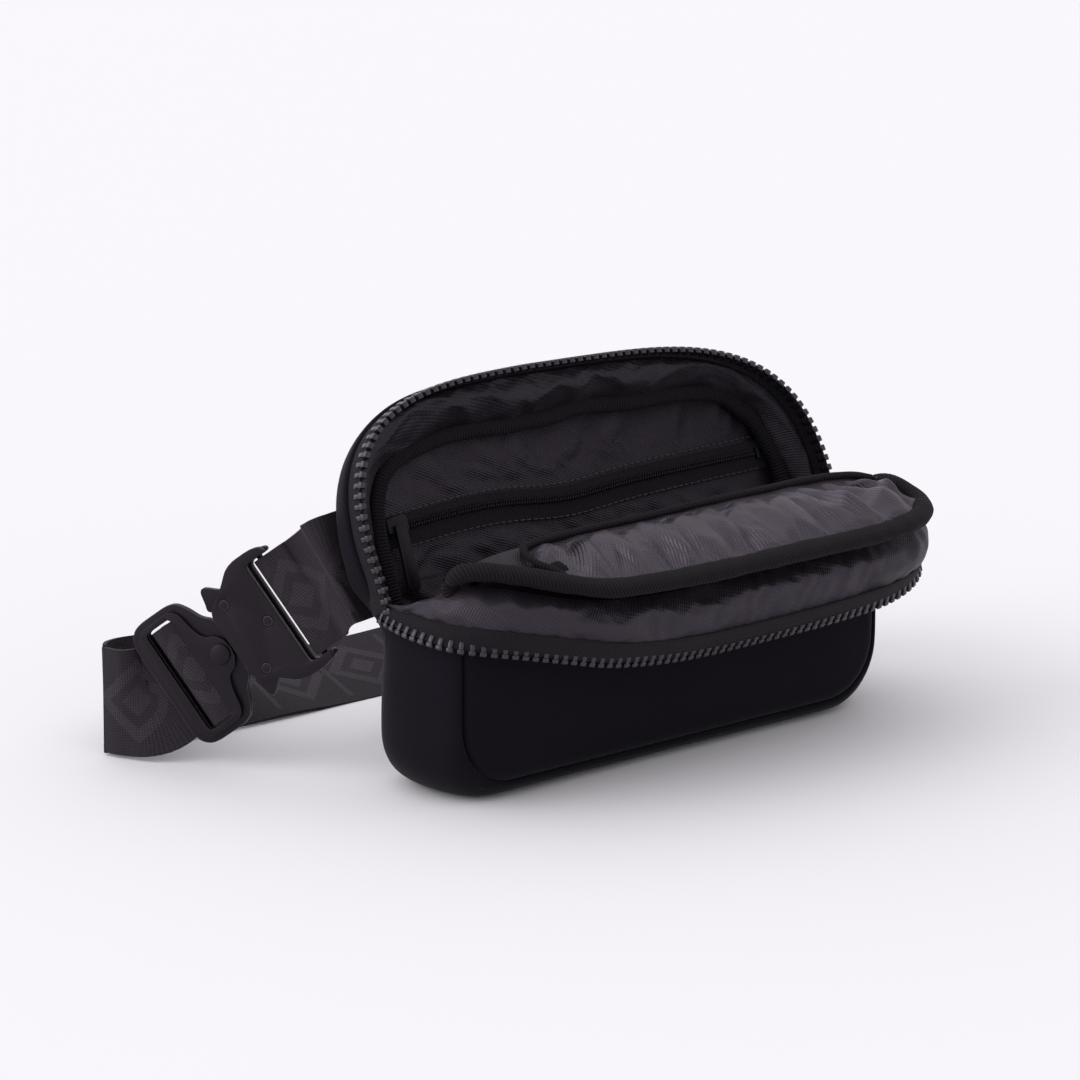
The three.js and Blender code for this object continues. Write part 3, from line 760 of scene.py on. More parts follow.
def makeFrontPanel():
    # rows from the bottom seam up to the fold, and over it to the flap's edge
    p = frontPanelSet
    section = []  # depth, height, left, right
    for z in [p["bottom"] + q for q in (0.05, 0.5, 1.2, 2.2, 3.6, 5.4, 7.8, 10.8, 14.2, 18, 22)]:
        up = max(p["corner"] - (z - p["bottom"]), 0)
        reach = p["half"] - p["corner"] + math.sqrt(max(p["corner"] ** 2 - up ** 2, 0))
        section.append((-37.3, z, -reach + bag["frontShift"], reach + bag["frontShift"]))
    for z in np.arange(33, 60, 4.0):
        section.append((-37.3, z, -99.6, 93.6))
    section += [
        (-37.2, 62, -99.4, 94), (-36.9, 67, -98, 96), (-36.6, 72, -96.5, 97.8), (-36.3, 76.4, -95, 98),
        (-36.0, 79.6, -92, 97.5), (-37.4, 81.1, -89.5, 99.5), (-41.5, 79.8, -84, 101.5),
        (-46, 77.8, -76, 102), (-51, 75.6, -68, 101), (-56, 73.6, -58, 96), (-60.4, 72.2, -42, 86),
    ]
    section = np.array(section)
    across = 0.5 - 0.5 * np.cos(np.linspace(0, math.pi, 67))
    across = 0.55 * across + 0.45 * np.linspace(0, 1, 67)
    sag = ripple(11, 62)
    rows = []
    for y, z, left, right in section:
        x = left + (right - left) * across
        row = placed(x, y, z)
        if z < 62.5 and y < -37:
            inside = uEdgeDistance(x, z, p["half"], p["bottom"], p["corner"], bag["frontShift"])
            fade = np.clip((66 - z) / 8, 0, 1)
            row[:, 1] += seamRound(inside, p["depth"], p["reach"]) * (0.35 + 0.65 * fade)
            row[:, 1] -= p["crown"] * np.clip(inside / 30, 0, 1) ** 0.7 * np.clip((68 - z) / 20, 0, 1)
            row[:, 1] += 0.35 * sag(x, z) * np.clip(inside / 12, 0, 1)
        rows.append(row)
    panel = sheetMesh("frontPanel", rows, neoprene, towards=(0, -1, 0.0))
    thicken(panel, 2.4, smooth=1)
    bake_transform(panel)
    dress(panel, "neoprene", "front_panel_lower", "front_panel_upper")


backPanelSet = {"half": 93.4, "bottom": 1.2, "depth": 2.6, "reach": 6.0, "crown": 1.3}


def makeBackPanel():
    # rings from the seam inwards, over the lower wall and the leaning shell
    p = backPanelSet
    count = 180
    arch = archLine(bag["backWidth"] - 1.6, bag["backHeight"] - 0.8, 10, 40, 0, bag["backSwell"])
    base = lowerLine(p["half"], 54, p["bottom"], bag["corner"] - 1)
    depth = 16.6

    def lift(flat):  # a flat outline point (x, way up) to its place on the bent wall
        x, up = flat[:, 0], flat[:, 1]
        share = eased((up - 48) / 22)[:, None]
        return placed(x, depth, up) * (1 - share) + onShell(x, depth, up - bag["zipHeight"]) * share
    flat = np.vstack([np.c_[arch[:, 0], arch[:, 1] + bag["zipHeight"]], base[::-1]])
    outline = curveThrough(flat, count, closed=True)
    centre = np.array([0.0, 66.0])
    sag = ripple(17, 80)
    rows = []
    for share in (1.0, 0.992, 0.98, 0.965, 0.945, 0.915, 0.87, 0.8, 0.7, 0.58, 0.45, 0.3, 0.15, 0.04):
        ring = centre + (outline - centre) * share
        inside = (1 - share) * 70
        out = -seamRound(np.array([inside]), p["depth"], p["reach"])[0] + p["crown"] * min(inside / 40, 1)
        normal = np.where((ring[:, 1] > 58)[:, None], [[0, leanCos, -leanSin]], [[0, 1.0, 0]])
        sway = 0.4 * sag(ring[:, 0], ring[:, 1]) * min(inside / 10, 1)
        rows.append(lift(ring) + normal * (out + sway[:, None]))
    panel = sheetMesh("backPanel", rows, neoprene, closedAcross=True, towards=(0, 1, 0))
    last = (len(rows) - 1) * count
    openEdit(panel, range(last, last + count))
    bpy.ops.mesh.edge_face_add()
    closeEdit()
    turnOut(panel, towards=(0, 1, 0))
    thicken(panel, 2.6)
    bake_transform(panel)
    dress(panel, "neoprene", "back_panel_lower", "rear_panel_upper")


makeGusset()
makeFrontPanel()
makeBackPanel()
print("neoprene ready")

# ---- moulded zip: one tooth, copied along both rows

toothSet = {
    "pitch": 3.65, "width": 1.7, "thick": 2.5, "root": 1.9, "neck": 0.7, "step": 0.15, "head": 2.45,
    "headLength": 1.35,
}


def makeTooth():
    # local axes: x along the row, y out of the tape, z through it
    s = toothSet
    bpy.ops.object.select_all(action="DESELECT")
    bpy.ops.mesh.primitive_cube_add(size=1, location=(0, -s["root"] / 2 * metre, 0))
    tooth = bpy.context.object
    tooth.scale = (s["width"] * metre, s["root"] * metre, s["thick"] * metre)
    bpy.ops.object.transform_apply(location=True, rotation=False, scale=True)
    openEdit(tooth, [face.index for face in tooth.data.polygons if face.normal.y > 0.9], "FACE")
    sizes = (0.8, 1, 0.8), (s["head"] / s["width"] / 0.8, 1, 1.12), (0.86, 1, 0.86)
    for out, size in zip(("neck", "step", "headLength"), sizes):
        way = {"value": (0, s[out] * metre, 0), "orient_type": "GLOBAL"}
        bpy.ops.mesh.extrude_region_move(TRANSFORM_OT_translate=way)
        bpy.ops.transform.resize(value=size)
    closeEdit()
    modify(tooth, "BEVEL", width=0.28 * metre, segments=1, limit_method="ANGLE", angle_limit=math.radians(40))
    return tooth


def teethAlong(name, tooth, path, outward):
    # path and outward directions, evenly spaced: one copy at each pitch
    count = int(runLength(path)[-1] / toothSet["pitch"])
    spots = resample(path, count)
    ways = unit(resample(outward, count))
    t = tangents(spots)
    ways = unit(ways - (ways * t).sum(1)[:, None] * t)
    through = np.cross(t, ways)
    local = np.array([v.co for v in tooth.data.vertices])
    faces = [tuple(f.vertices) for f in tooth.data.polygons]
    vertices, copied = [], []
    for k in range(count):
        base = len(local) * k
        turned = local[:, :1] * t[k] + local[:, 1:2] * ways[k] + local[:, 2:] * through[k]
        vertices.append(spots[k] * metre + turned)
        copied += [tuple(i + base for i in f) for f in faces]
    piece = newPiece(name, np.vstack(vertices), copied, mouldedTeeth)
    smoothFaces(piece, 50)
    return piece


# the flap's free edge, from the zip's left end round the front to its right end:
# a point, then the way the tape drops
flapEdge = np.array([
    (-107.0, -2.5, 66.2, -1.4, -0.5, -2.6), (-107.0, -12, 66.0, -2.2, -0.4, -3.4),
    (-105.6, -24, 65.6, -2.6, -0.4, -4.2), (-102.6, -35, 65.0, -1.9, -0.2, -4.8),
    (-96, -44.5, 64.0, -0.8, 1.6, -5.0), (-86, -51, 62.2, -0.2, 2.6, -5.0),
    (-68, -56.5, 58.4, 0, 2.9, -5.0), (-52, -59, 54.8, 0, 3.0, -5.0), (-30, -59.6, 52.0, 0, 3.0, -5.0),
    (-8, -59.4, 50.7, 0, 3.0, -5.0), (35, -59.4, 51.0, 0, 3.0, -5.0), (62, -58.6, 51.8, 0, 3.0, -5.0),
    (82, -57, 53.0, 0, 3.0, -5.0), (97, -53, 55.5, 0.6, 2.8, -4.9), (105, -46.5, 58.2, 1.8, 2.0, -4.6),
    (108.6, -38, 61.2, 2.4, 0.6, -4.4), (110.0, -27, 63.4, 2.2, 0, -3.8), (110.6, -16, 64.8, 1.6, 0, -3.2),
    (110.8, -9, 65.6, 1.2, 0, -2.6),
])
flapCount = 150
flapCurve = curveThrough(flapEdge, flapCount)
flapLow, flapDrop = flapCurve[:, :3], flapCurve[:, 3:]


def makeMainZip():
    tooth = makeTooth()
    # rear row: round the arch's rim, its feet reaching down to the zip's ends
    arch = archLine(bag["archWidth"], bag["archHeight"], 12, 60, 1.3)
    feet = [[-107.6, -1.0], [-107.6, 5.0]], [[107.0, 5.0], [107.4, -1.0]]
    line = resample(curveThrough(np.vstack([feet[0], arch, feet[1]]), 400), 400)
    rear = onShell(line[:, 0], -4.6, line[:, 1])
    ahead = np.broadcast_to([[0, -leanCos, leanSin]], rear.shape)
    teeth = teethAlong("rearTeeth", tooth, rear, ahead)
    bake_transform(teeth)
    dress(teeth, "moulded_teeth", "rear_teeth", "zip_end_left")

    edge = flapLow + flapDrop * 1.12
    front = teethAlong("frontTeeth", tooth, edge, flapDrop.copy())
    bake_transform(front)
    dress(front, "moulded_teeth", "front_teeth", "zip_end_right")
    bpy.data.objects.remove(tooth)

    # tapes: depth and inset of the rear one's section
    tapeSection = (-5.3, 0), (-4.6, 0), (-3.4, 0), (-1.6, 0.05), (0.4, 0.15), (2.6, 0.5), (5.4, 1.4)
    rows = []
    side = tangents(line)
    inward = np.stack([side[:, 1], -side[:, 0]], axis=1)
    for i in range(0, 400, 2):
        rows.append([
            onShell(line[i, 0] + inward[i, 0] * q, deep, line[i, 1] + inward[i, 1] * q)
            for deep, q in tapeSection
        ])
    tape = sheetMesh("rearTape", rows, zipTape, awayFrom=(0, 20, 80))
    thicken(tape, 1.3, offset=0)
    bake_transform(tape)
    dress(tape, "zip_tape", "rear_zip_tape")

    rows = []
    for low, drop in zip(flapLow, flapDrop):
        out = unit(np.array([drop[0] * 0.4, -0.8, 0.35]))
        section = (-0.35, 0.2), (-0.1, 0.7), (0.12, 0.75), (0.5, 0.35), (0.85, 0), (1.2, 0)
        rows.append([low + drop * down + out * off for down, off in section])
    tape = sheetMesh("frontTape", rows, zipTape, towards=(0, -1, 0.2))
    thicken(tape, 1.1, offset=0)
    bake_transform(tape)
    dress(tape, "zip_tape", "front_zip_tape")


makeMainZip()
print("main zip ready")

# ---- flap: bindings, slip panel, gusset with its satin

thickBinding = curveThrough([
    (-94, -30.5, 50), (-95.5, -31, 62), (-97.5, -29.5, 72), (-99.3, -28.6, 79), (-98.6, -31.5, 82.6),
    (-93, -37, 83.9), (-82, -44.5, 82.2), (-68, -52.3, 78.7), (-54, -58.2, 75.9), (-34, -61, 75.2),
    (-14, -62.2, 75), (31, -63.2, 75.6), (78, -61.7, 75.8), (96, -56.2, 77), (103, -49, 79),
    (103.8, -41, 81.6), (99.8, -33.4, 84.2), (96.5, -30, 82), (95.5, -30, 74), (94.5, -30.5, 62),
], 230)
foldLine = curveThrough([
    (-97, -29.5, 80.0), (-90, -27.6, 83.4), (-80, -27, 85.8), (-58, -27.4, 87.2), (-35, -27.0, 87.7),
    (-12, -27.4, 88.0), (14, -27.0, 88.5), (40, -27.4, 88.8), (60, -27.4, 89.0), (76, -28, 88.8),
    (90, -29.5, 87.4), (97, -32, 85.4),
], 150)
thinStart = curveThrough([  # it curls round the slip panel's left end
    (-66, -51.5, 80.0), (-68.5, -46.5, 82.2), (-71.2, -40.5, 84.0), (-71.0, -34, 85.6), (-67.5, -29.4, 86.7),
    (-61, -27.6, 87.2),
], 40)
thinBinding = resample(np.vstack([thinStart[:-1], foldLine[foldLine[:, 0] > -60]]), 170)


def partOf(path, left, right, count):
    # the stretch of a flap binding's path between two sideways places, in front of the fold
    keep = (path[:, 0] >= left) & (path[:, 0] <= right) & (path[:, 2] > 74)
    return resample(path[keep], count)


def makeFlapBindings():
    bumps = ripple(21, 16)
    thick = rollMesh("flapBinding", thickBinding, (0, -0.5, 0.85), 7.8, 5.0, ribbed, 18,
                     wobble=lambda i: 0.05 * float(bumps(i * 2.0, 0)))
    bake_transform(thick)
    dress(thick, "ribbed_binding", "front_binding")
    thin = rollMesh("pocketEdge", thinBinding, (0, -0.6, 0.8), 2.9, 2.2, ribbed, 12,
                    wobble=lambda i: 0.05 * float(bumps(i * 1.6, 9)))
    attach(thin, "front_flap")
    dress(thin, "ribbed_binding", "pocket_edge_binding")


slipSet = {
    "rows": 190, "columns": 34, "slack": 0.07, "crown": 3.4, "folds": 26, "length": 180, "fullWidth": 26,
    "flat": (0.176, 0.036),  # metres
}


def makeSlipPanel():
    s = slipSet
    back = partOf(foldLine, -70.5, 97, s["rows"]) + [0, -1.7, -1.9]
    front = partOf(thickBinding, -70.5, 102, s["rows"]) + [0, 2.2, 1.0]
    # the left end is round, inside its thin edging
    middle = (back + front) / 2
    narrow = np.sqrt(1 - (1 - np.clip(np.linspace(0.002, 1, s["rows"]) / 0.07, 0, 1)) ** 2)[:, None]
    back, front = middle + (back - middle) * narrow, middle + (front - middle) * narrow
    over = np.linspace(0, 1, s["columns"])
    rows = between(back, front, over)
    over = over[None]
    along = np.linspace(0, s["length"], s["rows"])[:, None]
    full = np.clip(np.linalg.norm(front - back, axis=1)[:, None] / s["fullWidth"], 0, 1)
    dome = np.sin(math.pi * over ** 0.85) ** 0.8 * s["crown"] * full
    rng = np.random.default_rng(8)
    folds = 0.8 * np.sin(2 * math.pi * (along + over * 15) / 31 + 1.3 * np.sin(along / 24))
    for number in range(s["folds"]):  # sharp valleys that run down to the thick binding's seam
        spot = (number + rng.uniform(0.1, 0.9)) * s["length"] / s["folds"]
        wide, deep, lean = rng.uniform(2.0, 4.2), rng.uniform(1.2, 3.6), rng.uniform(8, 20)
        middle, reach = rng.uniform(0.3, 0.85), rng.uniform(0.25, 0.6)
        offset = along + lean * (over - middle) - spot
        fade = np.exp(-((over - middle) / reach) ** 2)
        folds = folds - deep * np.exp(-np.abs(offset / wide) ** 1.5) * fade
        folds = folds + 0.45 * deep * np.exp(-((offset - 2.2 * wide) / wide) ** 2) * fade
    folds = folds * np.sin(math.pi * np.clip(over, 0.02, 0.98)) ** 0.4 * full
    rows[..., 2] += dome
    rows[..., 1] -= dome * 0.3
    panel = sheetMesh("slipPanel", rows, satin, towards=(0, -0.4, 1))
    gather(panel, gridEdges(s["rows"], s["columns"]), s["slack"], puff=0.4, bend=0.03, limit=2.0)
    for vertex, high in zip(panel.data.vertices, folds.ravel() * metre):
        vertex.co += Vector((0, -0.3, 0.95)) * float(high)
    thicken(panel, 0.5, smooth=1)
    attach(panel, "front_flap")
    dress(panel, "satin_lining", "slip_pocket")


def makeFlapLining():
    # flat lining under the slip panel, from the fold's binding to the flap's edge
    back = partOf(foldLine, -94, 97, 90) + [0, 0.1, -0.5]
    front = partOf(thickBinding, -96, 102.5, 90) + [0, 1.0, -1.4]
    rows = between(back, front, np.linspace(0, 1, 12))
    rows[..., 2] += 0.3 * ripple(29, 14)(rows[..., 0], rows[..., 1])
    lining = sheetMesh("flapLining", rows, shadedStripSatin, towards=(0, -0.4, 1))
    thicken(lining, 0.5)
    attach(lining, "front_flap")
    dress(lining, "satin_lining", "front_lining")


# upper edge of the flap's gusset, under the thick binding
gussetTop = curveThrough([
    (-106.2, -2.0, 66.6), (-105.2, -9, 69.0), (-103.4, -18, 73.0), (-101.0, -27, 77.4), (-97.0, -34, 79.6),
    (-89, -41.5, 79.4), (-78, -48.0, 76.8), (-66, -53.6, 73.6), (-52, -57.2, 71.2), (-33, -57.8, 69.6),
    (-14, -58.0, 69.2), (31, -58.6, 69.8), (78, -58.4, 70.6), (97, -55.0, 72), (104.4, -48.5, 74),
    (107, -40, 76.5), (107.5, -30, 75), (108.4, -18, 71), (109.4, -8, 67.2),
], flapCount)


flapStripSet = {"columns": 16, "puckers": 34, "belly": 2.8, "groove": 3.6, "backing": 2.9}


def makeFlapGusset():
    p = flapStripSet
    share = np.linspace(0, 1, p["columns"])
    along = np.arange(flapCount) * 2.1
    rng = np.random.default_rng(5)
    pucker = np.zeros((flapCount, len(share)))
    for _ in range(p["puckers"]):  # short folds that hang from the binding's seam, most near both ends
        spot = rng.choice([rng.uniform(15, 75), rng.uniform(225, 300), rng.uniform(0, 315)])
        wide, deep, lean = rng.uniform(1.8, 4.2), rng.uniform(0.35, 1.0), rng.uniform(-9, 9)
        offset = along[:, None] - spot - lean * share[None]
        fade = np.clip(1 - share[None] * rng.uniform(1.1, 2.2), 0, 1)
        pucker += deep * np.exp(-(offset / wide) ** 2) * fade
    low = flapLow - flapDrop * 0.12
    rows = between(gussetTop, low, share)
    t = tangents(rows[:, 8])
    face = unit(np.cross(t, unit(low - gussetTop)))
    face *= np.where((face * np.array([0, -1, 0.3])).sum(1) < 0, -1, 1)[:, None]
    # belly of the strip, deeper in the middle of the front, with a groove under the thick binding
    belly = p["belly"] * np.sin(math.pi * share) ** 0.8 - p["groove"] * np.clip(1 - share / 0.3, 0, 1) ** 1.2
    hang = np.sin(math.pi * np.clip(share + 0.12, 0, 1))
    rows += face[:, None, :] * (belly[None, :, None] + (pucker - 0.4)[..., None] * hang[None, :, None])
    strip = sheetMesh("flapSatin", rows, shadedStripSatin, towards=(0, -1, 0.2))
    gather(strip, gridEdges(flapCount, len(share)), 0.02, frames=18, bend=0.05, limit=1.4)
    thicken(strip, 0.5, smooth=1)
    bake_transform(strip)
    dress(strip, "satin_lining", "front_gusset_lining")

    back = sheetMesh("flapGusset", rows - face[:, None, :] * p["backing"], neoprene, towards=(0, 1, -0.2))
    thicken(back, 1.4, offset=1.0)
    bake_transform(back)
    dress(back, "neoprene", "front_gusset_upper")


makeFlapBindings()
makeSlipPanel()
makeFlapLining()
makeFlapGusset()
print("flap ready")

# ---- rear shell's inside

bindingLine = np.array([
    (-92.4, -26), (-93.6, -10), (-94.8, 8), (-94.4, 26), (-91.8, 38), (-86, 46.6), (-75, 51.8), (-60, 54.4),
    (-44, 55.6), (-30, 54.7), (-14, 54.9), (2, 56.2), (18, 55.6), (34, 55.0), (50, 55.2), (64, 53.4),
    (75, 49), (84, 41), (90, 28), (92.6, 10), (92.4, -10), (91.5, -26),
], float)


def wallPoint(x, deep, up):
    # like onShell, but below the zip's level it turns down into the upright lower body
    share = eased((np.array(up, float) + 14) / 22)[..., None]
    return placed(x, deep, bag["zipHeight"] + up) * (1 - share) + onShell(x, deep, up) * share


def makeRearBinding():
    flat = curveThrough(bindingLine, 240)
    wavy = ripple(31, 40)
    flat[:, 1] += 0.5 * wavy(flat[:, 0], 0) * (flat[:, 1] > 48)
    path = wallPoint(flat[:, 0], 7.6 + 0.5 * wavy(flat[:, 0], 50), flat[:, 1])
    roll = rollMesh("rearBinding", path, (0, -leanCos, leanSin), 5.8, 4.4, ribbedInside, 16)
    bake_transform(roll)
    dress(roll, "ribbed_binding", "rear_binding")
    return flat


rearSatinSet = {"rows": 190, "columns": 18, "puckers": 17, "overBinding": 2.3}


def makeRearSatin(flat):
    # between the rim's tape and the binding: it sags over the binding in soft puckers
    p = rearSatinSet
    count = p["rows"]
    rim = archLine(bag["archWidth"], bag["archHeight"], 12, 60, 2.9)
    rim = curveThrough(np.vstack([[[-104.4, -14], [-105.0, 0]], rim, [[104.6, 0], [104.0, -14]]]), count)
    low = resample(flat[8:-8], count)
    step = tangents(low)
    low += np.stack([-step[:, 1], step[:, 0]], axis=1) * p["overBinding"]
    share = np.linspace(0, 1, p["columns"])
    rows = between(rim, low, share)
    along = np.arange(count) * 1.9
    rng = np.random.default_rng(12)
    pucker = np.zeros((count, len(share)))
    for _ in range(p["puckers"]):
        spot, wide, deep = rng.uniform(20, 335), rng.uniform(5, 12), rng.uniform(0.5, 1.7)
        offset = along[:, None] - spot - rng.uniform(-14, 14) * (1 - share[None])
        pucker += deep * np.exp(-(offset / wide) ** 2) * share[None] ** 1.7
    deep = 1.6 + 7.4 * share[None] ** 2.2 - 1.6 * np.sin(math.pi * share[None]) ** 0.8 - pucker
    points = wallPoint(rows[..., 0], deep, rows[..., 1] - 0.7 * pucker * share[None])
    strip = sheetMesh("rearSatin", points, shadedLiningSatin, towards=(0, -1, 0))
    gather(strip, gridEdges(count, len(share)), 0.012, frames=14, bend=0.09, limit=1.2)
    thicken(strip, 0.5, smooth=1)
    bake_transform(strip)
    dress(strip, "satin_lining", "rear_gusset_lining")


def coilHeight(x):
    # the pocket zip isn't straight: it waves with the lining it is sewn to
    return np.interp(x, [-94, -74, -55, -36, -22, -10, 2, 16, 34, 60, 92],
                     [26.6, 27.8, 29.0, 28.8, 27.2, 25.8, 26.2, 27.4, 28.0, 28.4, 28.6])


def smoothCoil(x):
    return sum(coilHeight(x + q) for q in (-9, -6, -3, 0, 3, 6, 9)) / 7


liningSet = {"columns": 130, "levels": 74, "belowLevels": 22, "depth": 12.3, "corner": 26}


def makeRearLining():
    # fine twill wall behind the pocket zip, wrinkled and bent down into the lower body
    p = liningSet
    columns, levels, corner = p["columns"], p["levels"], p["corner"]
    x = np.linspace(0, 1, columns)
    below = p["belowLevels"]
    up = np.concatenate([np.linspace(-61, -8, below), np.linspace(-6, 63, levels - below)])
    rows = []
    broad, fine = ripple(41, 34), ripple(43, 15)
    arch = archLine(bag["backWidth"], bag["backHeight"], 8, 200, 3.0, bag["backSwell"])
    crest = int(np.argmax(arch[:, 1]))
    for h in up:
        if h > 8:
            left = np.interp(h, arch[:crest, 1], arch[:crest, 0])
            right = np.interp(-h, -arch[crest:, 1], arch[crest:, 0])
        else:
            curl = max(corner - (h + 61), 0)
            half = bag["halfBack"] - 4.2 - (corner - math.sqrt(max(corner ** 2 - curl ** 2, 0)))
            ease = np.clip((h + 20) / 28, 0, 1)
            left, right = -(half + 10 * ease), half + 9 * ease
        xs = left + (right - left) * x
        nearZip = np.exp(-((h - smoothCoil(xs) + 1.5) / 10.0) ** 4)
        bend = (0.8 * broad(xs, h * 1.6) + 0.45 * fine(xs * 0.8 + h * 0.7, h)) * (1 - nearZip)
        rows.append(wallPoint(xs, p["depth"] - 1.2 * np.abs(bend) - 0.5 * bend, h))
    wall = sheetMesh("rearLining", np.array(rows), shadedLiningSatin, towards=(0, -1, 0))
    held = set(gridEdges(levels, columns))
    held |= {i * columns + j for i, h in enumerate(up) if 17 < h < 36 for j in range(columns)}
    gather(wall, sorted(held), 0.03, frames=16, bend=0.06, limit=1.6)
    thicken(wall, 0.4, offset=1.0)
    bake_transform(wall)
    dress(wall, "satin_lining", "rear_lining")


coilSet = {"turns": 150, "radius": 0.62, "thick": 0.3, "start": -91, "length": 175}
stitchSet = {
    "step": 2.9, "dash": (0, 1.0, 2.1),
    "section": ((-0.22, -0.24), (-0.22, 0.24), (0.15, 0.24), (0.15, -0.24)),
}


def makePocketZip():
    x = np.linspace(-92, 90, 150)
    middle = smoothCoil(x)
    for name, node, low, high in (("pocketTapeLow", "pocket_tape_lower", -6.6, -0.35),
                                  ("pocketTapeHigh", "pocket_tape_upper", 0.35, 4.2)):
        steps = np.linspace(low, high, 7)
        deep = 11.5 - 0.5 * np.exp(-(steps / 3) ** 2)
        rows = onShell(x[:, None], deep[None], middle[:, None] + steps[None])
        tape = sheetMesh(name, rows, zipTape, towards=(0, -1, 0))
        thicken(tape, 0.5, offset=0)
        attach(tape, "rear_shell")
        dress(tape, "zip_tape", node)
    # coil: two fine rows of turns side by side
    c = coilSet
    t = np.linspace(0, 1, c["turns"] * 8)
    along = c["start"] + c["length"] * t
    rows = []
    for number, side in enumerate((-0.55, 0.55)):
        angle = t * c["turns"] * 2 * math.pi * (1 if side > 0 else -1)
        height = smoothCoil(along) + side + c["radius"] * np.cos(angle)
        path = onShell(along, 10.2 - 0.55 * np.sin(angle), height)
        way = tangents(path)
        a = unit(np.cross(way, [1.0, 0.2, 0.1]))
        b = np.cross(way, a)
        corners = np.linspace(0, 2 * math.pi, 4, endpoint=False)
        rings = path[:, None] + c["thick"] * (
            np.cos(corners)[None, :, None] * a[:, None] + np.sin(corners)[None, :, None] * b[:, None]
        )
        rows.append(sheetMesh(f"coil{number}", rings, coilTeeth, closedAcross=True))
    coil = joinPieces(*rows)
    coil.name = "pocketCoil"
    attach(coil, "rear_shell")
    dress(coil, "coil_teeth", "pocket_coil")

    # two rows of stitches: one above the zip, one below
    for name, offset in (("stitchesAbove", 4.9), ("stitchesBelow", -7.2)):
        vertices, faces = [], []
        for start in np.arange(-88, 86, stitchSet["step"]):
            base = len(vertices)
            for q in stitchSet["dash"]:
                spot = onShell(start + q, 10.95, float(smoothCoil(start + q)) + offset + (start + 90) * 0.006)
                for dy, dh in stitchSet["section"]:
                    vertices.append((spot + onShell(0, dy, dh) - onShell(0, 0, 0)) * metre)
            for r in (0, 4):
                for k in range(4):
                    a, b = base + r + k, base + r + (k + 1) % 4
                    faces.append((a, a + 4, b + 4, b))
            faces += [tuple(base + k for k in (0, 1, 2, 3)), tuple(base + 8 + k for k in (3, 2, 1, 0))]
        line = newPiece(name, vertices, faces, thread)
        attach(line, "rear_shell")
        dress(line, "zip_tape")


flatBinding = makeRearBinding()
makeRearSatin(flatBinding)
makeRearLining()
makePocketZip()
print("rear shell ready")

# ---- lower lining


def makeLowerLining():
    # round the sides and bottom
    count = 150
    folds = ripple(51, 26)
    rows = []
    for y in np.linspace(-33.4, 12.6, 16):
        half, shift = halfAt(y)
        line = lowerLine(half - 4.6, 62, 4.6, bag["corner"] - 4.6, shift)
        line = curveThrough(line, count)
        bump = 0.9 + 0.9 * folds(np.arange(count) * 1.9, y * 1.4)
        line = line + unit([[0, 45.0]] - line) * bump[:, None]
        rows.append(placed(line[:, 0], y, line[:, 1]))
    tray = sheetMesh("liningRound", rows, shadedLiningSatin, awayFrom=(0, -10, 45))
    tray.data.flip_normals()  # its right side is the inside
    thicken(tray, 0.4)
    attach(tray, "pack")
    dress(tray, "satin_lining", "lining_lower")

    # front wall, up to the fold
    rows = []
    wide = ripple(53, 30)
    for z in np.concatenate([np.linspace(4.5, 30, 12), np.linspace(33, 83.5, 20)]):
        up = max(26 - (z - 4.5), 0)
        half = 94.5 - 26 + math.sqrt(max(26 ** 2 - up ** 2, 0))
        x = np.linspace(-half - 3, half - 3 + 4 * np.clip((z - 60) / 20, 0, 1), 90)
        y = np.interp(z, [0, 60, 70, 78, 84], [-32.8, -32.8, -32.4, -31.2, -28.6])
        bend = 0.8 * wide(x, z) * np.clip((82 - z) / 10, 0, 1)
        rows.append(placed(x, y + np.abs(bend), z))
    wall = sheetMesh("liningFront", rows, shadedLiningSatin, towards=(0, 1, 0))
    thicken(wall, 0.4)
    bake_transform(wall)
    dress(wall, "satin_lining")


makeLowerLining()
print("lining ready")

# ---- strap

buckle = {"at": np.array([-128.6, 54.8, 45.4]), "reach": 1.08}
axis = unit([0.438, -0.67, 0.6])
across = np.array([-0.299, 0.521, 0.8])
across = unit(across - (across @ axis) * axis)
outOf = np.cross(axis, across)


def onBuckle(u, w, n, stretch=True):
    return buckle["at"] + axis * (u * (buckle["reach"] if stretch else 1)) + across * w + outOf * n


def ribbon(name, stations, steps, width=39.4, thick=1.5, wobble=0.0, shift=0.0, columns=15):
    # stations: a middle point and the way the width runs there
    centres = smoothCurve([s[0] for s in stations], steps)
    ways = unit(smoothCurve(unit([s[1] for s in stations]), steps))
    t = tangents(centres)
    ways = unit(ways - (ways * t).sum(1)[:, None] * t)
    normal = np.cross(t, ways)
    sway = ripple(61, 60)
    side = np.linspace(-1, 1, columns)
    rows = []
    for i in range(len(centres)):
        cup = wobble * sway(i * 3.0, side * 20)
        rows.append(centres[i] + ways[i] * side[:, None] * width / 2 + normal[i] * cup[:, None])
    piece = sheetMesh(name, rows, webbing, shift=(shift, 0))
    thicken(piece, thick, offset=0)
    return piece


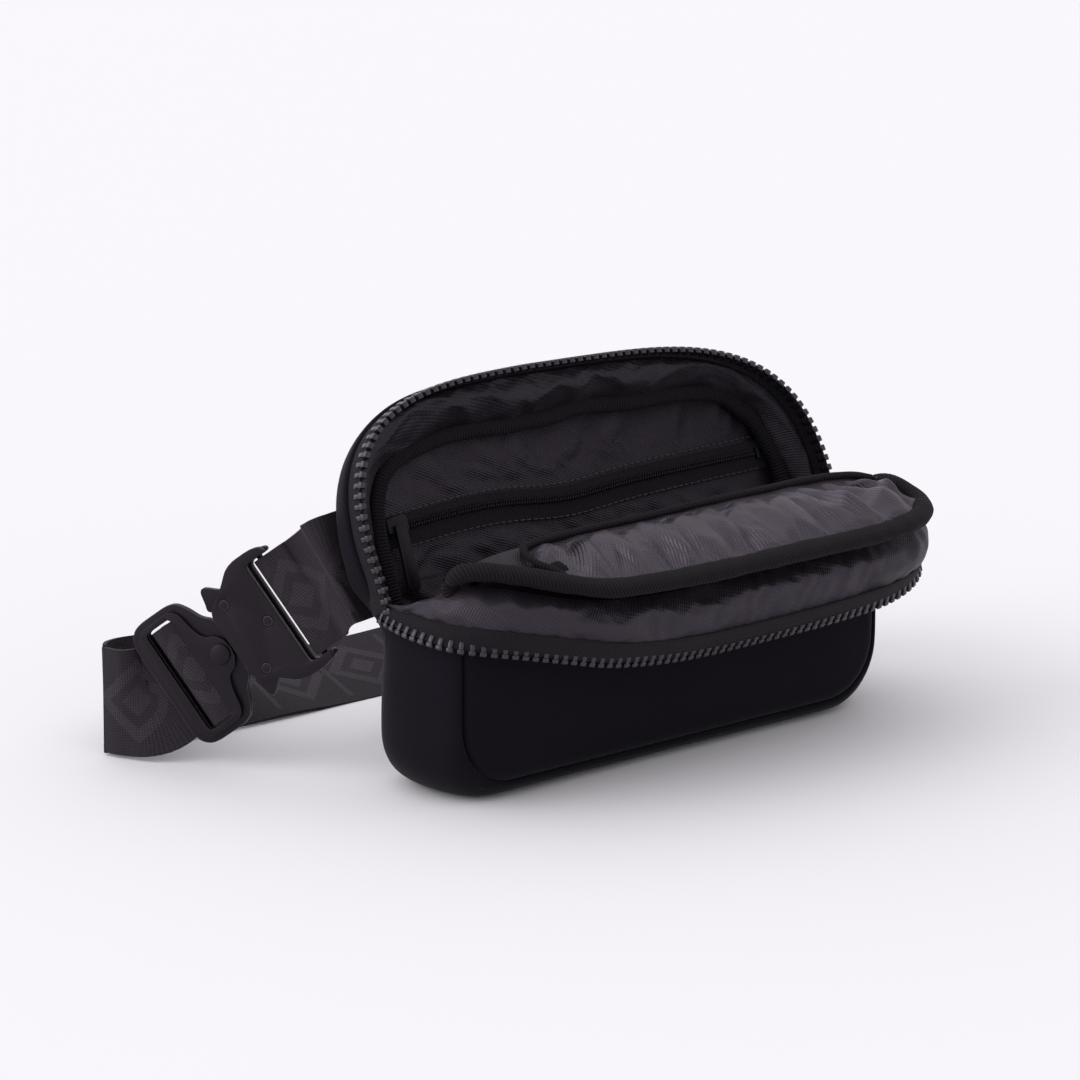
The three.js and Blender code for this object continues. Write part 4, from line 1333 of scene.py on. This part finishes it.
def makeStraps():
    barAt = 24.6 * buckle["reach"]

    def near(u, n):
        return onBuckle(u, 0, n, False), across

    # short strap: out of the bag's side seam, round the bar, and sewn back on itself
    short = [near(barAt + u, n) for u, n in (
        (9.5, -2.2), (6.5, -2.5), (3.4, -2.4), (0.9, -2.0), (-1.5, -1.4), (-2.1, 0), (-1.5, 1.4), (0.9, 2.0),
        (4, 1.5), (7.5, 0.8),
    )] + [
        (onBuckle(34.5, 0, 0.4), (-0.2, 0.45, 0.86)), ((-112.4, 20.4, 75.3), (0, 0.32, 0.95)),
        ((-106.5, 20.8, 76.0), (0, 0.35, 0.94)), ((-99.0, 21.0, 76.8), (0, 0.36, 0.93)),
    ]
    piece = ribbon("shortStrap", short, 7, width=39.0, thick=1.35, shift=6.0)
    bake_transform(piece)
    dress(piece, "webbing", "left_strap")

    standing, lying = (0, 0, 1), (0, 0.95, 0.31)

    def floor(x, y, way=standing):
        return (x, y, 20 * way[2] + 0.55 + 0.4 * abs(way[1])), way

    # long strap: loose folds on the floor behind the bag, and up to its other side seam
    run = [
        floor(-155, 97.5), floor(-150, 100.2, (0, 0.1, 0.99)), floor(-128, 102.5, (0, 0.45, 0.89)),
        floor(-105, 107.5, (0, 0.76, 0.65)), floor(-66, 111, lying), floor(0, 110.5, lying),
        floor(66, 102, (0, 0.6, 0.8)), floor(103, 88, (0, 0.18, 0.98)), floor(112, 76), floor(104, 67),
        floor(70, 64), floor(-22, 64), floor(-44, 61), floor(-53, 53), floor(-44, 45), floor(-22, 42.5),
        floor(40, 42.5),
        ((84, 43, 25), (0.1, 0, 1)), ((112, 43, 42), (0.25, 0, 0.96)), ((121, 34, 58), (0.2, 0.1, 0.97)),
        ((116, 24, 70), (0, 0.22, 0.97)), ((109.4, 19.5, 75.5), (0, 0.27, 0.96)),
        ((104.5, 17.5, 78.5), (0, 0.3, 0.95)),
    ]
    long = ribbon("longStrap", run, 8, width=39.6, thick=1.4, wobble=0.25)
    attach(long, "pack")
    dress(long, "webbing", "long_strap")

    # from the fold to the male half, over its bar and back
    slideBar = -17.6 * buckle["reach"]
    lead = [
        ((-155.2, 97.3, 20.55), (0, 0, 1)), ((-154.2, 92.6, 20.6), (0, 0, 1)),
        ((-152.4, 88.4, 20.7), (-0.06, 0.1, 0.99)),
    ] + [near(u, n) for u, n in (
        (-39.5, -1.2), (-34.5, -2.6), (-27.5, -3.2), (-24.2, -1.6), (slideBar - 4.3, 1.6),
        (slideBar - 1.4, 3.5), (slideBar + 1.2, 3.4), (slideBar + 5.0, 1.3), (slideBar + 5.4, -1.6),
        (slideBar + 1.0, -4.6), (-26, -5.2), (-34, -4.9), (-38, -4.2),
    )]
    piece = ribbon("strapLead", lead, 7, width=38.6, thick=1.3, shift=14.0)
    end = tuple(onBuckle(-33.5, 0, 0, False) * metre)
    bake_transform(piece)
    dress(piece, "webbing", "strap_lead")


makeStraps()
print("straps ready")

# ---- buckle and small metal: bevelled copies of the fitted plates

metalSet = {  # node: body, edge width
    "female_top_plate": ("pack", 0.5), "female_bottom_plate": ("pack", 0.4), "female_bar": ("pack", 0.2),
    "rivet_lever_upper": ("pack", 0.22), "rivet_lever_lower": ("pack", 0.22), "rivet_center": ("pack", 0.22),
    "lever_upper": ("lever_upper", 0.35), "lever_lower": ("lever_lower", 0.35),
    "male_frame": ("male_half", 0.4), "male_cover": ("male_half", 0.55), "male_boss": ("male_half", 0), "adjuster_bar": ("adjuster_bar", 0.2),
    "pocket_slider": ("pocket_slider", 0.3), "pocket_pull": ("pocket_pull", 0.3),
    "pocket_stop": ("rear_shell", 0.2), "main_slider": ("pack", 0.7), "main_pull": ("main_pull", 0.4),
    "spring_upper": ("pack", 0), "spring_lower": ("pack", 0),
}


def makeMetal(node, body, edge):
    # the pocket's parts take the darker copy of the coat: painted shade for their place inside the bag
    steel, dark = node.startswith("spring"), node.startswith("pocket")
    material = springSteel if steel else shadedCoat if dark else powderCoat
    words = node.split("_")
    name = words[0] + "".join(w.title() for w in words[1:])
    piece = bpy.data.objects.new(name, nodes[node].data.copy())
    scene.collection.objects.link(piece)
    openEdit(piece)
    bpy.ops.mesh.remove_doubles(threshold=0.00001)
    bpy.ops.mesh.dissolve_limited(angle_limit=math.radians(1.5))
    closeEdit()
    bpy.ops.mesh.customdata_custom_splitnormals_clear()
    piece.data.materials.clear()
    piece.data.materials.append(material)
    if edge:
        # powder-coated plates get the lighter copy on their bevel faces: a painted edge highlight
        if material == powderCoat:
            piece.data.materials.append(edgeHighlightCoat)
        modify(piece, "BEVEL", width=edge * metre, segments=2, limit_method="ANGLE",
               angle_limit=math.radians(48), harden_normals=False, material=len(piece.data.materials) - 1)
    smoothFaces(piece, 38)
    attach(piece, body)
    dress(piece, "spring_steel" if steel else "coated_metal", node)


for plate, (bodyName, edgeWidth) in metalSet.items():
    makeMetal(plate, bodyName, edgeWidth)
print("metal ready")
